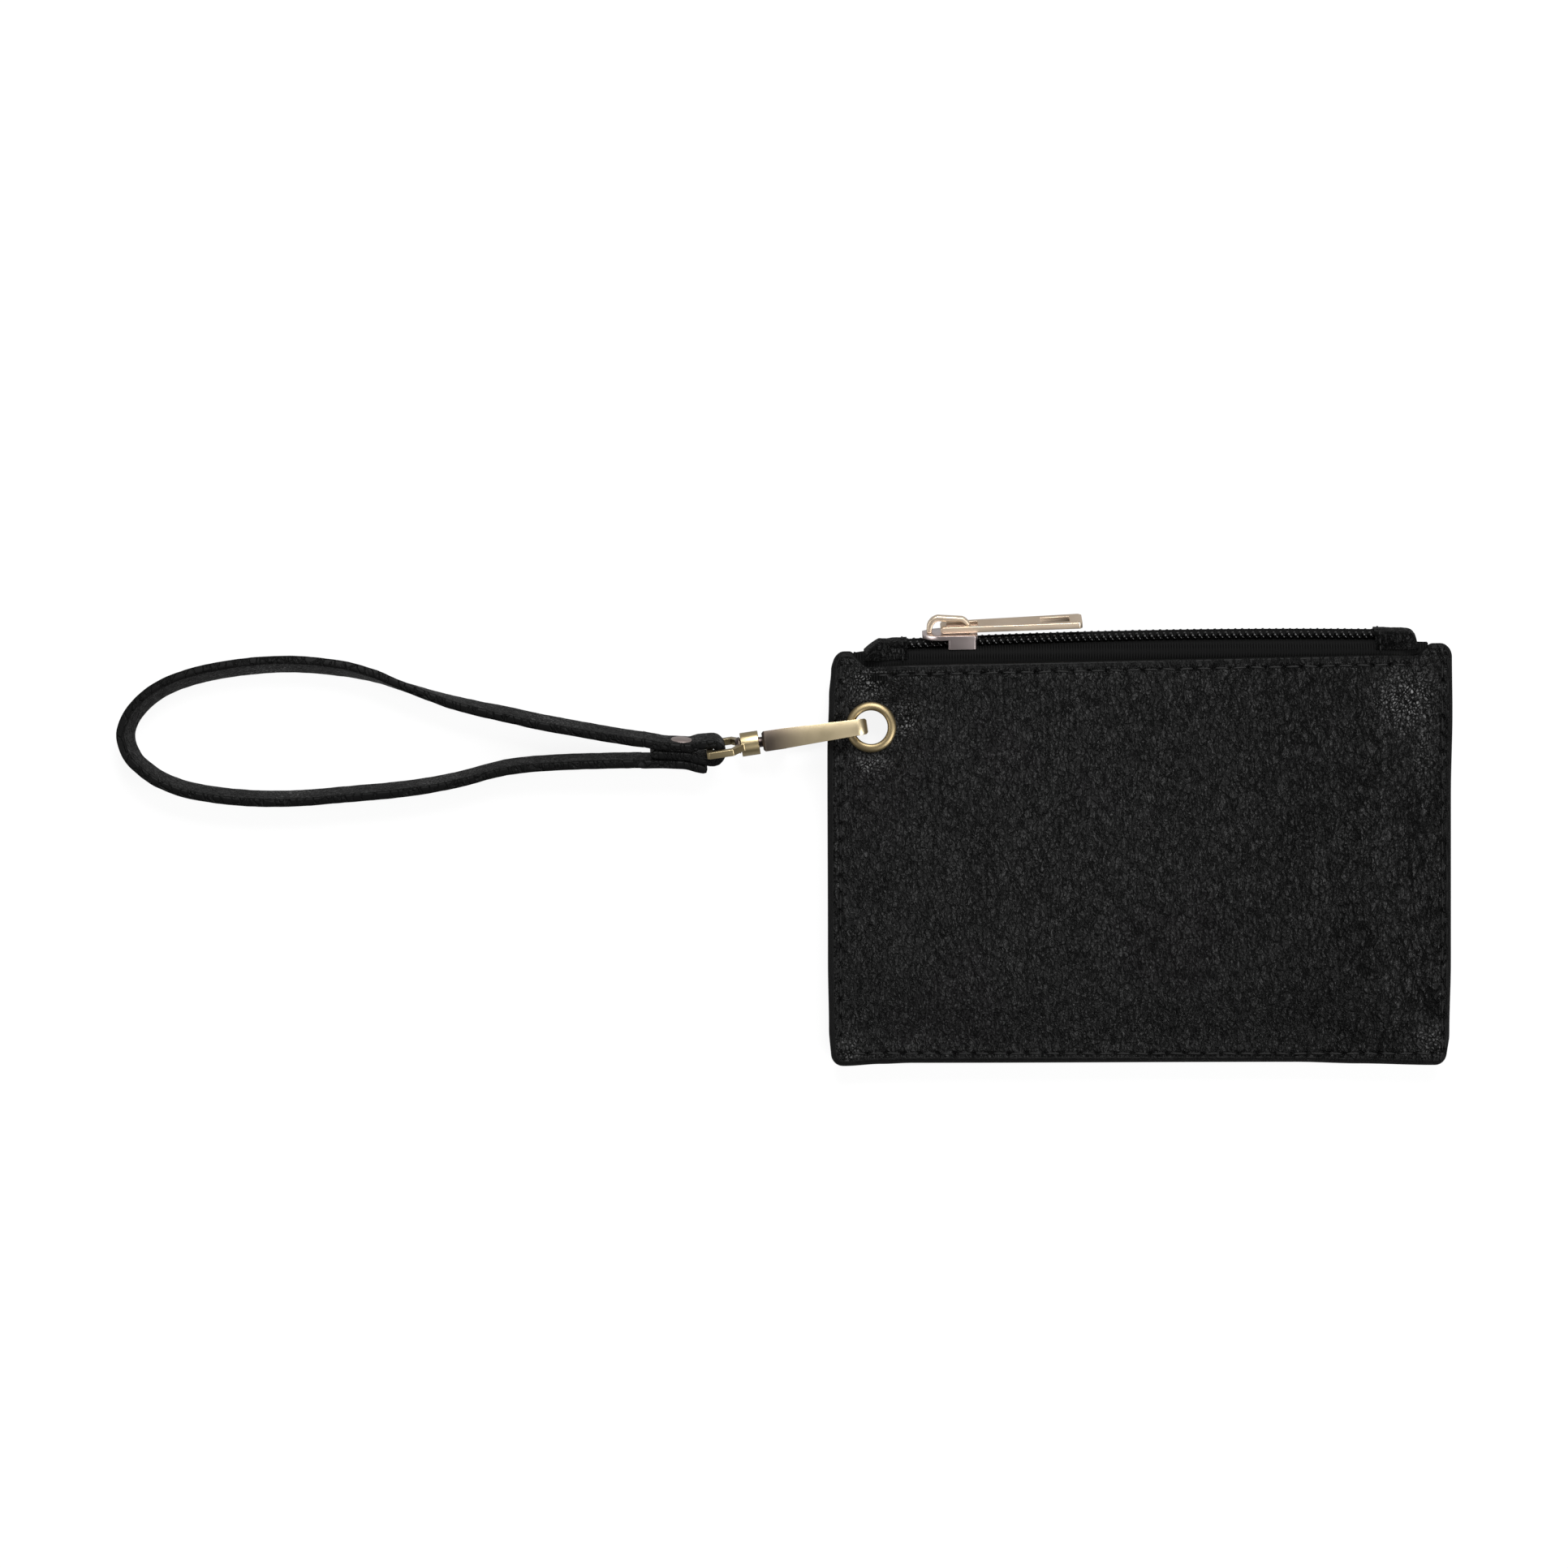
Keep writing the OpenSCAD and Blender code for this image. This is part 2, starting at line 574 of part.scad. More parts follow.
module gate_lever() {
    tip = -nose_t / 2 - 0.2;
    inner_half = hook_base_w / 2 - cheek_t - gate_gap;
    spring_room = 0.85;
    on_hook() difference() {
        union() {
            // Blade from the cheeks to the nose, thinned where it shuts on the lip
            translate([0, 0, gate_z]) linear_extrude(gate_t)
                polygon([[-hook_len + cheek_len + 0.3, -hook_base_w / 2 + 0.3], [tip - lip_len - 0.2, -hook_nose_w / 2],
                         [tip - lip_len - 0.2, hook_nose_w / 2], [-hook_len + cheek_len + 0.3, hook_base_w / 2 - 0.3]]);
            hook_slab([[tip - lip_len - 0.4, gate_z + 0.25], [tip, gate_z + 0.25], [tip, gate_z + gate_t],
                       [tip - lip_len - 0.4, gate_z + gate_t]], hook_nose_w - 0.2);
            // Root between the cheeks
            translate([pin_x, -inner_half, gate_z])
                cube([-hook_len + cheek_len + 0.6 - pin_x, 2 * inner_half - spring_room, gate_t]);
            translate([pin_x, inner_half - spring_room, pin_z]) rotate([90, 0, 0])
                cylinder(r = knuckle_r, h = 2 * inner_half - spring_room, $fn = fine);
        }
        translate([pin_x, 0, pin_z]) rotate([90, 0, 0])
            cylinder(r = pin_r + pin_gap, h = far, center = true, $fn = fine);
    }
}

module swivel_dring() {
    r = dring_wire_d / 2;
    neck = boss_x - boss_len + 0.8;
    shoulder = 2.4;
    outer = dring_half + r;
    inner = dring_half - r;
    on_hook() rotate([dring_lean, 0, 0]) difference() {
        union() {
            translate([boss_x - boss_len, 0, 0]) rotate([0, 90, 0]) cylinder(r = boss_r, h = boss_len, $fn = fine);
            difference() {
                hook_slab([[bar_x - r + 0.5, -outer], [neck - shoulder, -outer], [neck, -boss_r + 0.3],
                           [neck, boss_r - 0.3], [neck - shoulder, outer], [bar_x - r + 0.5, outer],
                           [bar_x - r, outer - 0.5], [bar_x - r, -outer + 0.5]], dring_wire_d);
                hook_slab([[bar_x + r, -inner], [neck - shoulder - 0.3, -inner],
                           [boss_x - boss_len - 1, -post_head_r - 0.3], [boss_x - boss_len - 1, post_head_r + 0.3],
                           [neck - shoulder - 0.3, inner], [bar_x + r, inner]], dring_wire_d + 2);
            }
        }
        translate([boss_x - boss_len - 4, 0, 0]) rotate([0, 90, 0])
            cylinder(r = post_r + post_gap, h = boss_len + 8, $fn = fine);
        // Room for the head of the post inside the ring
        translate([boss_x - boss_len - 1.5, 0, 0]) rotate([0, 90, 0])
            cylinder(r = post_head_r + 0.15, h = 1.5, $fn = fine);
    }
}

// ---- Strap ----

strap_lean = [sin(hook_angle) * sin(dring_lean), -cos(hook_angle) * sin(dring_lean), cos(dring_lean)];
strap_side = cross(strap_lean, [cos(strap_angle), sin(strap_angle), 0]);
strap_n = strap_side / norm(strap_side);
strap_x = cross(strap_n, strap_lean);

// Place of a strap point near the D ring: p along the strap, q out of its face
function near_bar(pq) = bar_point + pq[0] * strap_x + pq[1] * strap_n;

// Middle line of the strap's two ends where they are riveted, as [p, q]
stack_end = -14.5;
upper_q = 1.4;
lower_q = -2.9;
upper_end = concat(
    [[-11.4, rivet_q], [rivet_p + 1.2, rivet_q], [-2.6, rivet_q - 0.45]],
    [for (a = [-105 : 15 : 105]) [fold_p + fold_r * cos(a), fold_q + fold_r * sin(a)]],
    [[-2.2, 1.45], [-3.4, rivet_q + layer + 0.12], [rivet_p + 1.2, rivet_q + layer],
     [-8.6, rivet_q + layer], [-11.5, 1.15], [-13, upper_q], [stack_end, upper_q]]);
lower_end = [[stack_end, lower_q], [-13, lower_q], [-8.6, rivet_q - layer], [rivet_p + 1.2, rivet_q - layer],
             [-2.4, -3.15], [-0.4, -3.65]];

// Outline of a band of strap thickness round a middle line
function side_line(m, h) =
    [for (i = [0 : len(m) - 1])
        let (t0 = m[min(i + 1, len(m) - 1)] - m[max(i - 1, 0)], t = t0 / norm(t0))
        m[i] + h * [-t.y, t.x]];
function band(m) = let (back = side_line(m, -strap_t / 2))
    concat(side_line(m, strap_t / 2), [for (i = [len(m) - 1 : -1 : 0]) back[i]]);

// The free loop, measured from the D ring bar: x, y, z of the strap's middle, then how far its
// upper edge leans in x and y
loop = [[-30.3, 4.9, -0.9, 0, -0.29], [-39.7, 6.9, -1.2, 0, -0.28], [-49.1, 9, -1.3, 0, -0.2],
        [-58.5, 12, -1.3, 0, 0], [-64.9, 14.3, -1.3, 0, 0.15], [-71.4, 15.7, -1.3, 0, 0.25],
        [-80.3, 16.5, -1.3, -0.02, 0.28], [-89.7, 16, -1.3, -0.05, 0.28], [-99.1, 14.3, -1.3, -0.12, 0.26],
        [-106, 11.6, -1.3, -0.2, 0.2], [-110.7, 7.6, -1.3, -0.27, 0.1], [-112.7, 3.1, -1.3, -0.28, 0],
        [-111.5, -1.1, -1.3, -0.26, -0.1], [-108.9, -3.8, -1.3, -0.21, -0.18],
        [-105.3, -6.1, -1.3, -0.14, -0.24], [-99.1, -8.1, -1.3, -0.06, -0.28], [-89.7, -9.3, -1.3, 0, -0.29],
        [-80.3, -9.4, -1.3, 0, -0.29], [-71, -8.7, -1.3, 0, -0.29], [-58.5, -7.5, -1.3, 0, -0.29],
        [-49.1, -5.9, -1.3, 0, -0.29], [-39.7, -3.5, -1.2, 0, -0.29], [-30.3, -2.5, -0.8, 0, -0.29]];

function start_point(q) = let (c = near_bar([stack_end, q]), up = strap_lean / strap_lean.z)
    [c.x, c.y, c.z, up.x, up.y];
function placed(p) = [p[0] + bar_point.x, p[1] + bar_point.y, p[2] + bar_point.z, p[3], p[4]];
route = concat([start_point(upper_q)], [for (p = loop) placed(p)], [start_point(lower_q)]);

// Catmull-Rom curve through the route, with two spans between points
function spline(p, i, t) =
    let (a = p[max(i - 1, 0)], b = p[i], c = p[min(i + 1, len(p) - 1)], d = p[min(i + 2, len(p) - 1)])
    0.5 * (2 * b + (c - a) * t + (2 * a - 5 * b + 4 * c - d) * t * t + (3 * b - a - 3 * c + d) * t * t * t);

smooth_route = concat([for (i = [0 : len(route) - 2], t = [0, 0.5]) spline(route, i, t)], [route[len(route) - 1]]);

// Four corners of the strap's section at ring i; the end rings meet the riveted ends squarely and a little inside
function strap_ring(i) =
    let (last = len(smooth_route) - 1, here = smooth_route[i],
         before = smooth_route[max(i - 1, 0)], after = smooth_route[min(i + 1, last)],
         c = [here[0], here[1], here[2]],
         t0 = i == 0 ? -strap_x : i == last ? strap_x : [after[0] - before[0], after[1] - before[1], 0],
         t = t0 / norm(t0),
         up0 = [here[3], here[4], 1], up = up0 / norm(up0), n0 = cross(up, t), n = n0 / norm(n0),
         trim = i == 0 || i == last ? 0.03 : 0, a = n * (strap_t / 2 - trim), b = up * (strap_w / 2 - trim))
    [c + a + b, c - a + b, c - a - b, c + a - b];

// Frame at the D ring bar: X along the strap, Y out of its face, Z along its width
module at_bar() {
    multmatrix([[strap_x.x, strap_n.x, strap_lean.x, bar_point.x],
                [strap_x.y, strap_n.y, strap_lean.y, bar_point.y],
                [strap_x.z, strap_n.z, strap_lean.z, bar_point.z], [0, 0, 0, 1]]) children();
}

// Rivet frame: Z out of the strap's outer face, origin in the middle layer
module on_rivet() {
    at_bar() translate([rivet_p, rivet_q, 0]) rotate([-90, 0, 0]) children();
}

cap_seat = 1.5 * strap_t + layer - strap_t - 0.1;   // the caps press this far into the outer layers

module rivet_room() {
    on_rivet() {
        translate([0, 0, -cap_seat - 3]) cylinder(r = rivet_shank_r, h = 2 * cap_seat + 6, $fn = fine);
        translate([0, 0, cap_seat]) cylinder(r = rivet_cap_r + fit_gap, h = 2.5, $fn = fine);
        translate([0, 0, -cap_seat - 2.5]) cylinder(r = rivet_cap_r + fit_gap, h = 2.5, $fn = fine);
    }
}

module wrist_strap() {
    rings = [for (i = [0 : len(smooth_route) - 1]) each strap_ring(i)];
    tube(rings, len(smooth_route), 4);
    difference() {
        at_bar() translate([0, 0, -strap_w / 2]) linear_extrude(strap_w) polygon(band(upper_end));
        rivet_room();
    }
    difference() {
        at_bar() translate([0, 0, -strap_w / 2]) linear_extrude(strap_w) polygon(band(lower_end));
        rivet_room();
    }
}

// Low domed cap
module cap() {
    cylinder(r = rivet_cap_r, h = cap_t * 0.4, $fn = fine);
    translate([0, 0, cap_t * 0.4]) cylinder(r1 = rivet_cap_r, r2 = rivet_cap_r * 0.7, h = cap_t * 0.6, $fn = fine);
}

module rivet_cap() {
    on_rivet() translate([0, 0, cap_seat]) cap();
}

module rivet_post() {
    on_rivet() {
        translate([0, 0, -cap_seat]) cylinder(r = rivet_shank_r - 0.02, h = 2 * cap_seat, $fn = fine);
        translate([0, 0, -cap_seat]) mirror([0, 0, 1]) cap();
    }
}

black = [0.07, 0.07, 0.075];
brass = [0.62, 0.53, 0.36];
color(black) skin();  // front_panel
color(black) to_back() skin();  // back_panel
color("dimgray") side_layer(skin_t, stiffener_t, stiffener_inset);  // front_stiffener
color("dimgray") to_back() side_layer(skin_t, stiffener_t, stiffener_inset);  // back_stiffener
color("black") side_layer(skin_t + stiffener_t, lining_t, lining_inset);  // front_lining
color("black") to_back() side_layer(skin_t + stiffener_t, lining_t, lining_inset);  // back_lining
color("black") zip_tape(1);  // zip_tape_front
color("black") zip_tape(-1);  // zip_tape_back
color("black") zip_coil(1);  // zip_coil_front
color("black") zip_coil(-1);  // zip_coil_back
color(black) zip_tab(-1);  // zip_tab_left
color(black) zip_tab(1);  // zip_tab_right
color(brass) eyelet_barrel();
color(brass) eyelet_washer();
color("black") seam_thread();  // seam_thread_front
color("black") to_back() seam_thread();  // seam_thread_back
color("black") mouth_thread();  // mouth_thread_front
color("black") to_back() mouth_thread();  // mouth_thread_back
color(brass) slider_body();
color(brass) slider_bail();
color(brass) pull_tab();
color(brass) hook_frame();
color(brass) swivel_post();
color(brass) gate_pin();
color("silver") gate_spring();
color("dimgray") gate_lever();
color(brass) swivel_dring();
color(black) wrist_strap();
color(brass) rivet_cap();
color(brass) rivet_post();
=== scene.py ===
"""Visual model of a zipped wristlet wallet, built around its packed mechanical frame.

Lengths in the classes are millimetres; every mesh is finished in metres, in the frame's own axes.
"""

import logging
import math
from collections.abc import Callable, Sequence
from dataclasses import dataclass, field
from enum import Enum

import bpy
from mathutils import Matrix, Vector, noise


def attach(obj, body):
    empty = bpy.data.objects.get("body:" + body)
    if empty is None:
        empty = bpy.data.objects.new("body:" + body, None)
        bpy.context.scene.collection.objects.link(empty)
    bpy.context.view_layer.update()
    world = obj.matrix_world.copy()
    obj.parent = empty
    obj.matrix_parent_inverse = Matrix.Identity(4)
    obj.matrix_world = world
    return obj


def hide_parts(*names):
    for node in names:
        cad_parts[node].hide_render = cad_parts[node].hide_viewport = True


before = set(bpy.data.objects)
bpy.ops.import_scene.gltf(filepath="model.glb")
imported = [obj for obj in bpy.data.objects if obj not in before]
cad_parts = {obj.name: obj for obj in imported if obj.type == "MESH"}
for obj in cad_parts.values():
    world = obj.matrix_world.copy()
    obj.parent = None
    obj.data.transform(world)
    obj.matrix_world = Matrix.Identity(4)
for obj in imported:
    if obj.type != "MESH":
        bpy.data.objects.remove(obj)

LOG = logging.getLogger("wristlet")
MM = 0.001
MERGE = 2e-6
SOFT_ANGLE = 60.0
WHITE = (1.0, 1.0, 1.0, 1.0)
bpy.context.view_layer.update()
Marks = tuple[float, ...]


# ---- Shared sizes -------------------------------------------------------------------------------


@dataclass(frozen=True)
class Layout:
    """Sizes that several sub-assemblies share, in millimetres and degrees."""

    half_width: float = 60.0
    bottom: float = -40.0
    ear_top: float = 39.6
    ear_rise: float = 2.9
    ear_width: float = 4.2
    ear_curve: float = 2.8
    top_slope: float = 1.2
    ear_slope: float = 0.8
    mid: float = 4.8
    flange: float = 1.4
    thickness: float = 9.6
    stitch_inset: float = 2.0
    stitch_pitch: float = 3.4
    eyelet: tuple[float, float] = (-52.0, 25.0)
    zip_rise: float = 4.3
    zip_lean: float = 16.0
    hook_angle: float = 8.5
    hook_nose: tuple[float, float] = (-53.5, 25.1)
    bar_reach: float = -29.9
    dring_lean: float = 16.0

    @property
    def mouth(self) -> float:
        """Height of the mouth edge at the middle of the pouch."""
        return self.ear_top - self.ear_rise + self.half_width * math.tan(math.radians(self.top_slope))

    def along_mouth(self, x: float, y: float, z: float) -> Vector:
        """Turns a place beside the mouth edge into the frame.

        Args:
            x: Distance along the mouth edge.
            y: Distance above the mouth edge.
            z: Height above the table.

        Returns:
            The place in the frame, in metres.
        """
        slope = math.radians(self.top_slope)
        return MM * Vector((x * math.cos(slope) - y * math.sin(slope),
                            self.mouth + x * math.sin(slope) + y * math.cos(slope), z))

    def on_zip(self, x: float, v: float, u: float) -> Vector:
        """Turns a place in the zip's own axes into the frame.

        Args:
            x: Distance along the zip.
            v: Distance out of the coil's face.
            u: Distance across the coil, towards the front.

        Returns:
            The place in the frame, in metres.
        """
        lean = math.radians(self.zip_lean)
        return self.along_mouth(x, self.zip_rise + v * math.cos(lean) - u * math.sin(lean),
                                self.mid + v * math.sin(lean) + u * math.cos(lean))


LAYOUT = Layout()


class Side(Enum):
    """The two faces of the pouch."""

    FRONT = 1
    BACK = -1

    @property
    def word(self) -> str:
        """Returns front or back, as the pieces are named."""
        return self.name.lower()


def smooth(low: float, high: float, value: float) -> float:
    """Returns a soft step from 0 at low to 1 at high."""
    t = min(1.0, max(0.0, (value - low) / (high - low)))
    return t * t * (3.0 - 2.0 * t)


def hump(distance: float, width: float) -> float:
    """Returns a bell of height 1 at distance 0."""
    return math.exp(-((distance / width) ** 2))


def follow(points: Sequence[tuple[float, float]], at: float) -> float:
    """Reads a soft line through a few points.

    Args:
        points: Pairs of position and value, in rising position.
        at: Position to read.

    Returns:
        The value there, held level past both ends.
    """
    if at <= points[0][0]:
        return points[0][1]
    for (a, va), (b, vb) in zip(points, points[1:]):
        if at <= b:
            return va + (vb - va) * smooth(a, b, at)
    return points[-1][1]


def stations(length: float, step: float, fine: Sequence[float]) -> list[float]:
    """Spaces a grid line: the fine distances at both ends and even steps between.

    Args:
        length: Whole length.
        step: Even spacing in the middle.
        fine: Distances from an end, in rising order from 0.

    Returns:
        Positions from 0 to length.
    """
    span = length - 2.0 * fine[-1]
    count = max(1, round(span / step))
    middle = [fine[-1] + span * i / count for i in range(1, count)]
    return [*fine, *middle, *(length - d for d in reversed(fine))]


# ---- Mesh work ----------------------------------------------------------------------------------


def deselect() -> None:
    """Leaves nothing selected and no mesh in edit mode."""
    if bpy.context.object and bpy.context.object.mode != "OBJECT":
        bpy.ops.object.mode_set(mode="OBJECT")
    bpy.ops.object.select_all(action="DESELECT")


def pick(piece: bpy.types.Object) -> None:
    """Makes one piece the only selected and the active one."""
    deselect()
    piece.select_set(True)
    bpy.context.view_layer.objects.active = piece


def modify(piece: bpy.types.Object, kind: str, **settings: object) -> None:
    """Adds a modifier to a piece and applies it.

    Args:
        piece: The piece to change.
        kind: Blender's name of the modifier type.
        settings: The modifier's own settings.
    """
    pick(piece)
    modifier = piece.modifiers.new(kind.title(), kind)
    for key, value in settings.items():
        setattr(modifier, key, value)
    bpy.ops.object.modifier_apply(modifier=modifier.name)


def tidy_mesh(piece: bpy.types.Object, merge: float = 0.0, close: bool = False) -> None:
    """Merges doubles, closes open ends and turns the faces outwards.

    Args:
        piece: The piece to change.
        merge: Distance under which points merge, in metres.
        close: Whether open rims get a face.
    """
    pick(piece)
    bpy.ops.object.mode_set(mode="EDIT")
    bpy.ops.mesh.select_all(action="SELECT")
    if merge:
        bpy.ops.mesh.remove_doubles(threshold=merge)
    if close:
        bpy.ops.mesh.fill_holes(sides=0)
        bpy.ops.mesh.select_all(action="SELECT")
    bpy.ops.mesh.normals_make_consistent(inside=False)
    bpy.ops.object.mode_set(mode="OBJECT")


def shade(piece: bpy.types.Object, angle: float = 35.0) -> None:
    """Shades a piece smoothly below an edge angle in degrees."""
    pick(piece)
    bpy.ops.object.shade_smooth_by_angle(angle=math.radians(angle), keep_sharp_edges=False)


def finish_soft(piece: bpy.types.Object, merge: float = 0.0, close: bool = False) -> bpy.types.Object:
    """Cleans a soft piece's mesh and shades it smoothly.

    Args:
        piece: The piece to finish.
        merge: Distance under which points merge, in metres.
        close: Whether open rims get a face.

    Returns:
        The same piece.
    """
    tidy_mesh(piece, merge, close)
    shade(piece, SOFT_ANGLE)
    return piece


def bead() -> bpy.types.Object:
    """Adds a small ball of few faces, the start of one stitch."""
    deselect()
    bpy.ops.mesh.primitive_uv_sphere_add(segments=8, ring_count=7, radius=1.0)
    return bpy.context.object


def shaped_grid(name: str, columns: int, rows: int, place: Callable[[int, int], tuple[Vector, Marks]],
                marks: Sequence[str] = ()) -> bpy.types.Object:
    """Adds a grid and works each of its points into place.

    Args:
        name: Name of the piece.
        columns: Cells along the grid.
        rows: Cells across the grid.
        place: Gives the place in metres, and the values of the marks, for a column and a row.
        marks: Names of the point attributes that place fills.

    Returns:
        The shaped piece.
    """
    deselect()
    bpy.ops.mesh.primitive_grid_add(x_subdivisions=columns, y_subdivisions=rows, size=2.0)
    piece = bpy.context.object
    piece.name = piece.data.name = name
    for mark in marks:
        piece.data.attributes.new(mark, "FLOAT", "POINT")
    layers = [piece.data.attributes[mark] for mark in marks]
    for point in piece.data.vertices:
        column = round((point.co.x + 1.0) / 2.0 * columns)
        row = round((point.co.y + 1.0) / 2.0 * rows)
        point.co, values = place(column, row)
        for layer, value in zip(layers, values):
            layer.data[point.index].value = value
    piece.data.update()
    return piece


def lathe(name: str, profile: Sequence[tuple[float, float]], centre: Vector, axis: Vector,
          segments: int = 64) -> bpy.types.Object:
    """Turns a closed profile round an axis.

    Args:
        name: Name of the piece.
        profile: Radius and height of each profile point, in millimetres; it closes on itself.
        centre: Where the axis starts, in metres.
        axis: Direction of the axis.
        segments: Steps round the axis.

    Returns:
        The turned piece.
    """
    turn = axis.to_track_quat("Z", "Y")

    def place(column: int, row: int) -> tuple[Vector, Marks]:
        """Places one point of the turned grid."""
        angle = math.tau * column / segments
        radius, height = profile[row % len(profile)]
        return centre + turn @ (MM * Vector((radius * math.cos(angle), radius * math.sin(angle), height))), ()

    piece = shaped_grid(name, segments, len(profile), place)
    tidy_mesh(piece, MERGE)
    shade(piece, 50.0)
    return piece


def join(name: str, pieces: Sequence[bpy.types.Object]) -> bpy.types.Object:
    """Joins pieces into one, under a new name."""
    pick(pieces[0])
    for piece in pieces:
        piece.select_set(True)
    bpy.ops.object.join()
    pieces[0].name = pieces[0].data.name = name
    return pieces[0]


def copies(name: str, model: bpy.types.Object, places: Sequence[Matrix]) -> bpy.types.Object:
    """Copies a modelled piece to many places and joins the copies into one piece.

    Args:
        name: Name of the joined piece.
        model: The piece modelled once; it is used up.
        places: One transform for each copy.

    Returns:
        The joined piece.
    """
    made = []
    for place in places:
        pick(model)
        bpy.ops.object.duplicate(linked=False)
        copy = bpy.context.object
        copy.data.transform(place)
        made.append(copy)
    bpy.data.objects.remove(model)
    return join(name, made)


def refined(node: str, width: float, segments: int = 3, limit: float = 30.0,
            smooth_angle: float = 40.0) -> bpy.types.Object:
    """Copies a machined node, merges its triangles and eases its edges.

    Args:
        node: Name of the frame's node that the piece stands for.
        width: Width of the eased edges in millimetres.
        segments: Steps in each eased edge.
        limit: Angle above which an edge is eased, in degrees.
        smooth_angle: Angle below which shading is smooth, in degrees.

    Returns:
        The finished copy.
    """
    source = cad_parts[node]
    piece = bpy.data.objects.new(node + "_eased", source.data.copy())
    bpy.context.scene.collection.objects.link(piece)
    piece.data.name = piece.name
    piece.data.materials.clear()
    pick(piece)
    bpy.ops.object.mode_set(mode="EDIT")
    bpy.ops.mesh.select_all(action="SELECT")
    bpy.ops.mesh.remove_doubles(threshold=MERGE)
    bpy.ops.mesh.dissolve_limited(angle_limit=math.radians(0.8))
    bpy.ops.object.mode_set(mode="OBJECT")
    if width:
        modify(piece, "BEVEL", width=width * MM, segments=segments, limit_method="ANGLE",
               angle_limit=math.radians(limit), use_clamp_overlap=True)
    shade(piece, smooth_angle)
    return piece


def enlist(piece: bpy.types.Object, body: str, slot: str, material: bpy.types.Material,
           *nodes: str) -> bpy.types.Object:
    """Dresses a piece, makes it ride on its body and hides the frame nodes that it stands for.

    Args:
        piece: The finished piece.
        body: Body that the piece moves with.
        slot: Material slot of the record that it takes its finish from; not used.
        material: Its material.
        nodes: Frame nodes that it replaces.

    Returns:
        The same piece.
    """
    piece.data.materials.clear()
    piece.data.materials.append(material)
    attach(piece, body)
    if nodes:
        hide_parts(*nodes)
    LOG.info("%s rides on %s with %d faces", piece.name, body, len(piece.data.polygons))
    return piece


# ---- Finishes -----------------------------------------------------------------------------------


class Graph:
    """Adds and links the nodes of one material or node group."""

    def __init__(self, tree: bpy.types.NodeTree) -> None:
        """Works on a tree, from which all old nodes are taken."""
        self.tree = tree
        tree.nodes.clear()

    def add(self, kind: str, inputs: dict[str | int, object] | None = None,
            **settings: object) -> bpy.types.Node:
        """Adds one node.

        Args:
            kind: Blender's name of the node type, without the ShaderNode in front.
            inputs: Values or sockets for its inputs, by name or number.
            settings: The node's own settings.

        Returns:
            The node.
        """
        node = self.tree.nodes.new(kind if kind.startswith("Node") else "ShaderNode" + kind)
        for key, value in settings.items():
            setattr(node, key, value)
        for key, value in (inputs or {}).items():
            if isinstance(value, bpy.types.NodeSocket):
                self.tree.links.new(value, node.inputs[key])
            else:
                node.inputs[key].default_value = value
        return node

    def math(self, operation: str, *terms: object, clamp: bool = False) -> bpy.types.NodeSocket:
        """Returns the result of one sum on values or sockets."""
        return self.add("Math", dict(enumerate(terms)), operation=operation, use_clamp=clamp).outputs[0]

    def ramp(self, factor: object, ends: tuple[float, float]) -> bpy.types.NodeSocket:
        """Returns a value that runs straight from the first end to the second."""
        return self.math("MULTIPLY_ADD", factor, ends[1] - ends[0], ends[0])

    def blend(self, factor: object, a: object, b: object) -> bpy.types.NodeSocket:
        """Returns a colour between a and b."""
        return self.add("Mix", {0: factor, 6: a, 7: b}, data_type="RGBA").outputs[2]

    def span(self, value: object, low: float, high: float, to_low: float = 0.0,
             to_high: float = 1.0) -> bpy.types.NodeSocket:
        """Returns a value carried from one range to another, softly and without overrun."""
        return self.add("MapRange", {0: value, 1: low, 2: high, 3: to_low, 4: to_high},
                        interpolation_type="SMOOTHSTEP").outputs[0]

    def noise(self, vector: object, scale: float, detail: float = 2.0,
              rough: float = 0.5) -> bpy.types.NodeSocket:
        """Returns a noise value at a scale in waves a metre."""
        return self.add("TexNoise", {"Vector": vector, "Scale": scale, "Detail": detail,
                                     "Roughness": rough}).outputs[0]

    def cells(self, vector: object, scale: float) -> bpy.types.NodeSocket:
        """Returns the distance to the nearest cell border."""
        return self.add("TexVoronoi", {"Vector": vector, "Scale": scale},
                        feature="DISTANCE_TO_EDGE").outputs["Distance"]

    def attribute(self, name: str) -> bpy.types.NodeSocket:
        """Returns a point attribute of the piece as a value."""
        return self.add("Attribute", attribute_name=name).outputs["Fac"]

    def place(self) -> bpy.types.NodeSocket:
        """Returns the place on the piece in the frame's metres."""
        return self.add("TexCoord").outputs["Object"]


def new_material(name: str) -> tuple[bpy.types.Material, Graph]:
    """Adds a material and the empty graph that fills it."""
    made = bpy.data.materials.new(name)
    made.use_nodes = True
    return made, Graph(made.node_tree)


def effect(name: str, inputs: dict[str, str], outputs: dict[str, str],
           build: Callable[[Graph, bpy.types.Node], dict[str, bpy.types.NodeSocket]]) -> bpy.types.NodeTree:
    """Makes a shared effect as a node group.

    Args:
        name: Name of the group.
        inputs: Input names with their kinds, Float, Vector or Color.
        outputs: Output names with their kinds.
        build: Adds the nodes and returns the socket of each output.

    Returns:
        The group.
    """
    tree = bpy.data.node_groups.new(name, "ShaderNodeTree")
    for way, sockets in (("INPUT", inputs), ("OUTPUT", outputs)):
        for label, kind in sockets.items():
            tree.interface.new_socket(name=label, in_out=way, socket_type="NodeSocket" + kind)
    graph = Graph(tree)
    entry = graph.add("NodeGroupInput")
    made = build(graph, entry)
    graph.add("NodeGroupOutput", dict(made))
    return tree


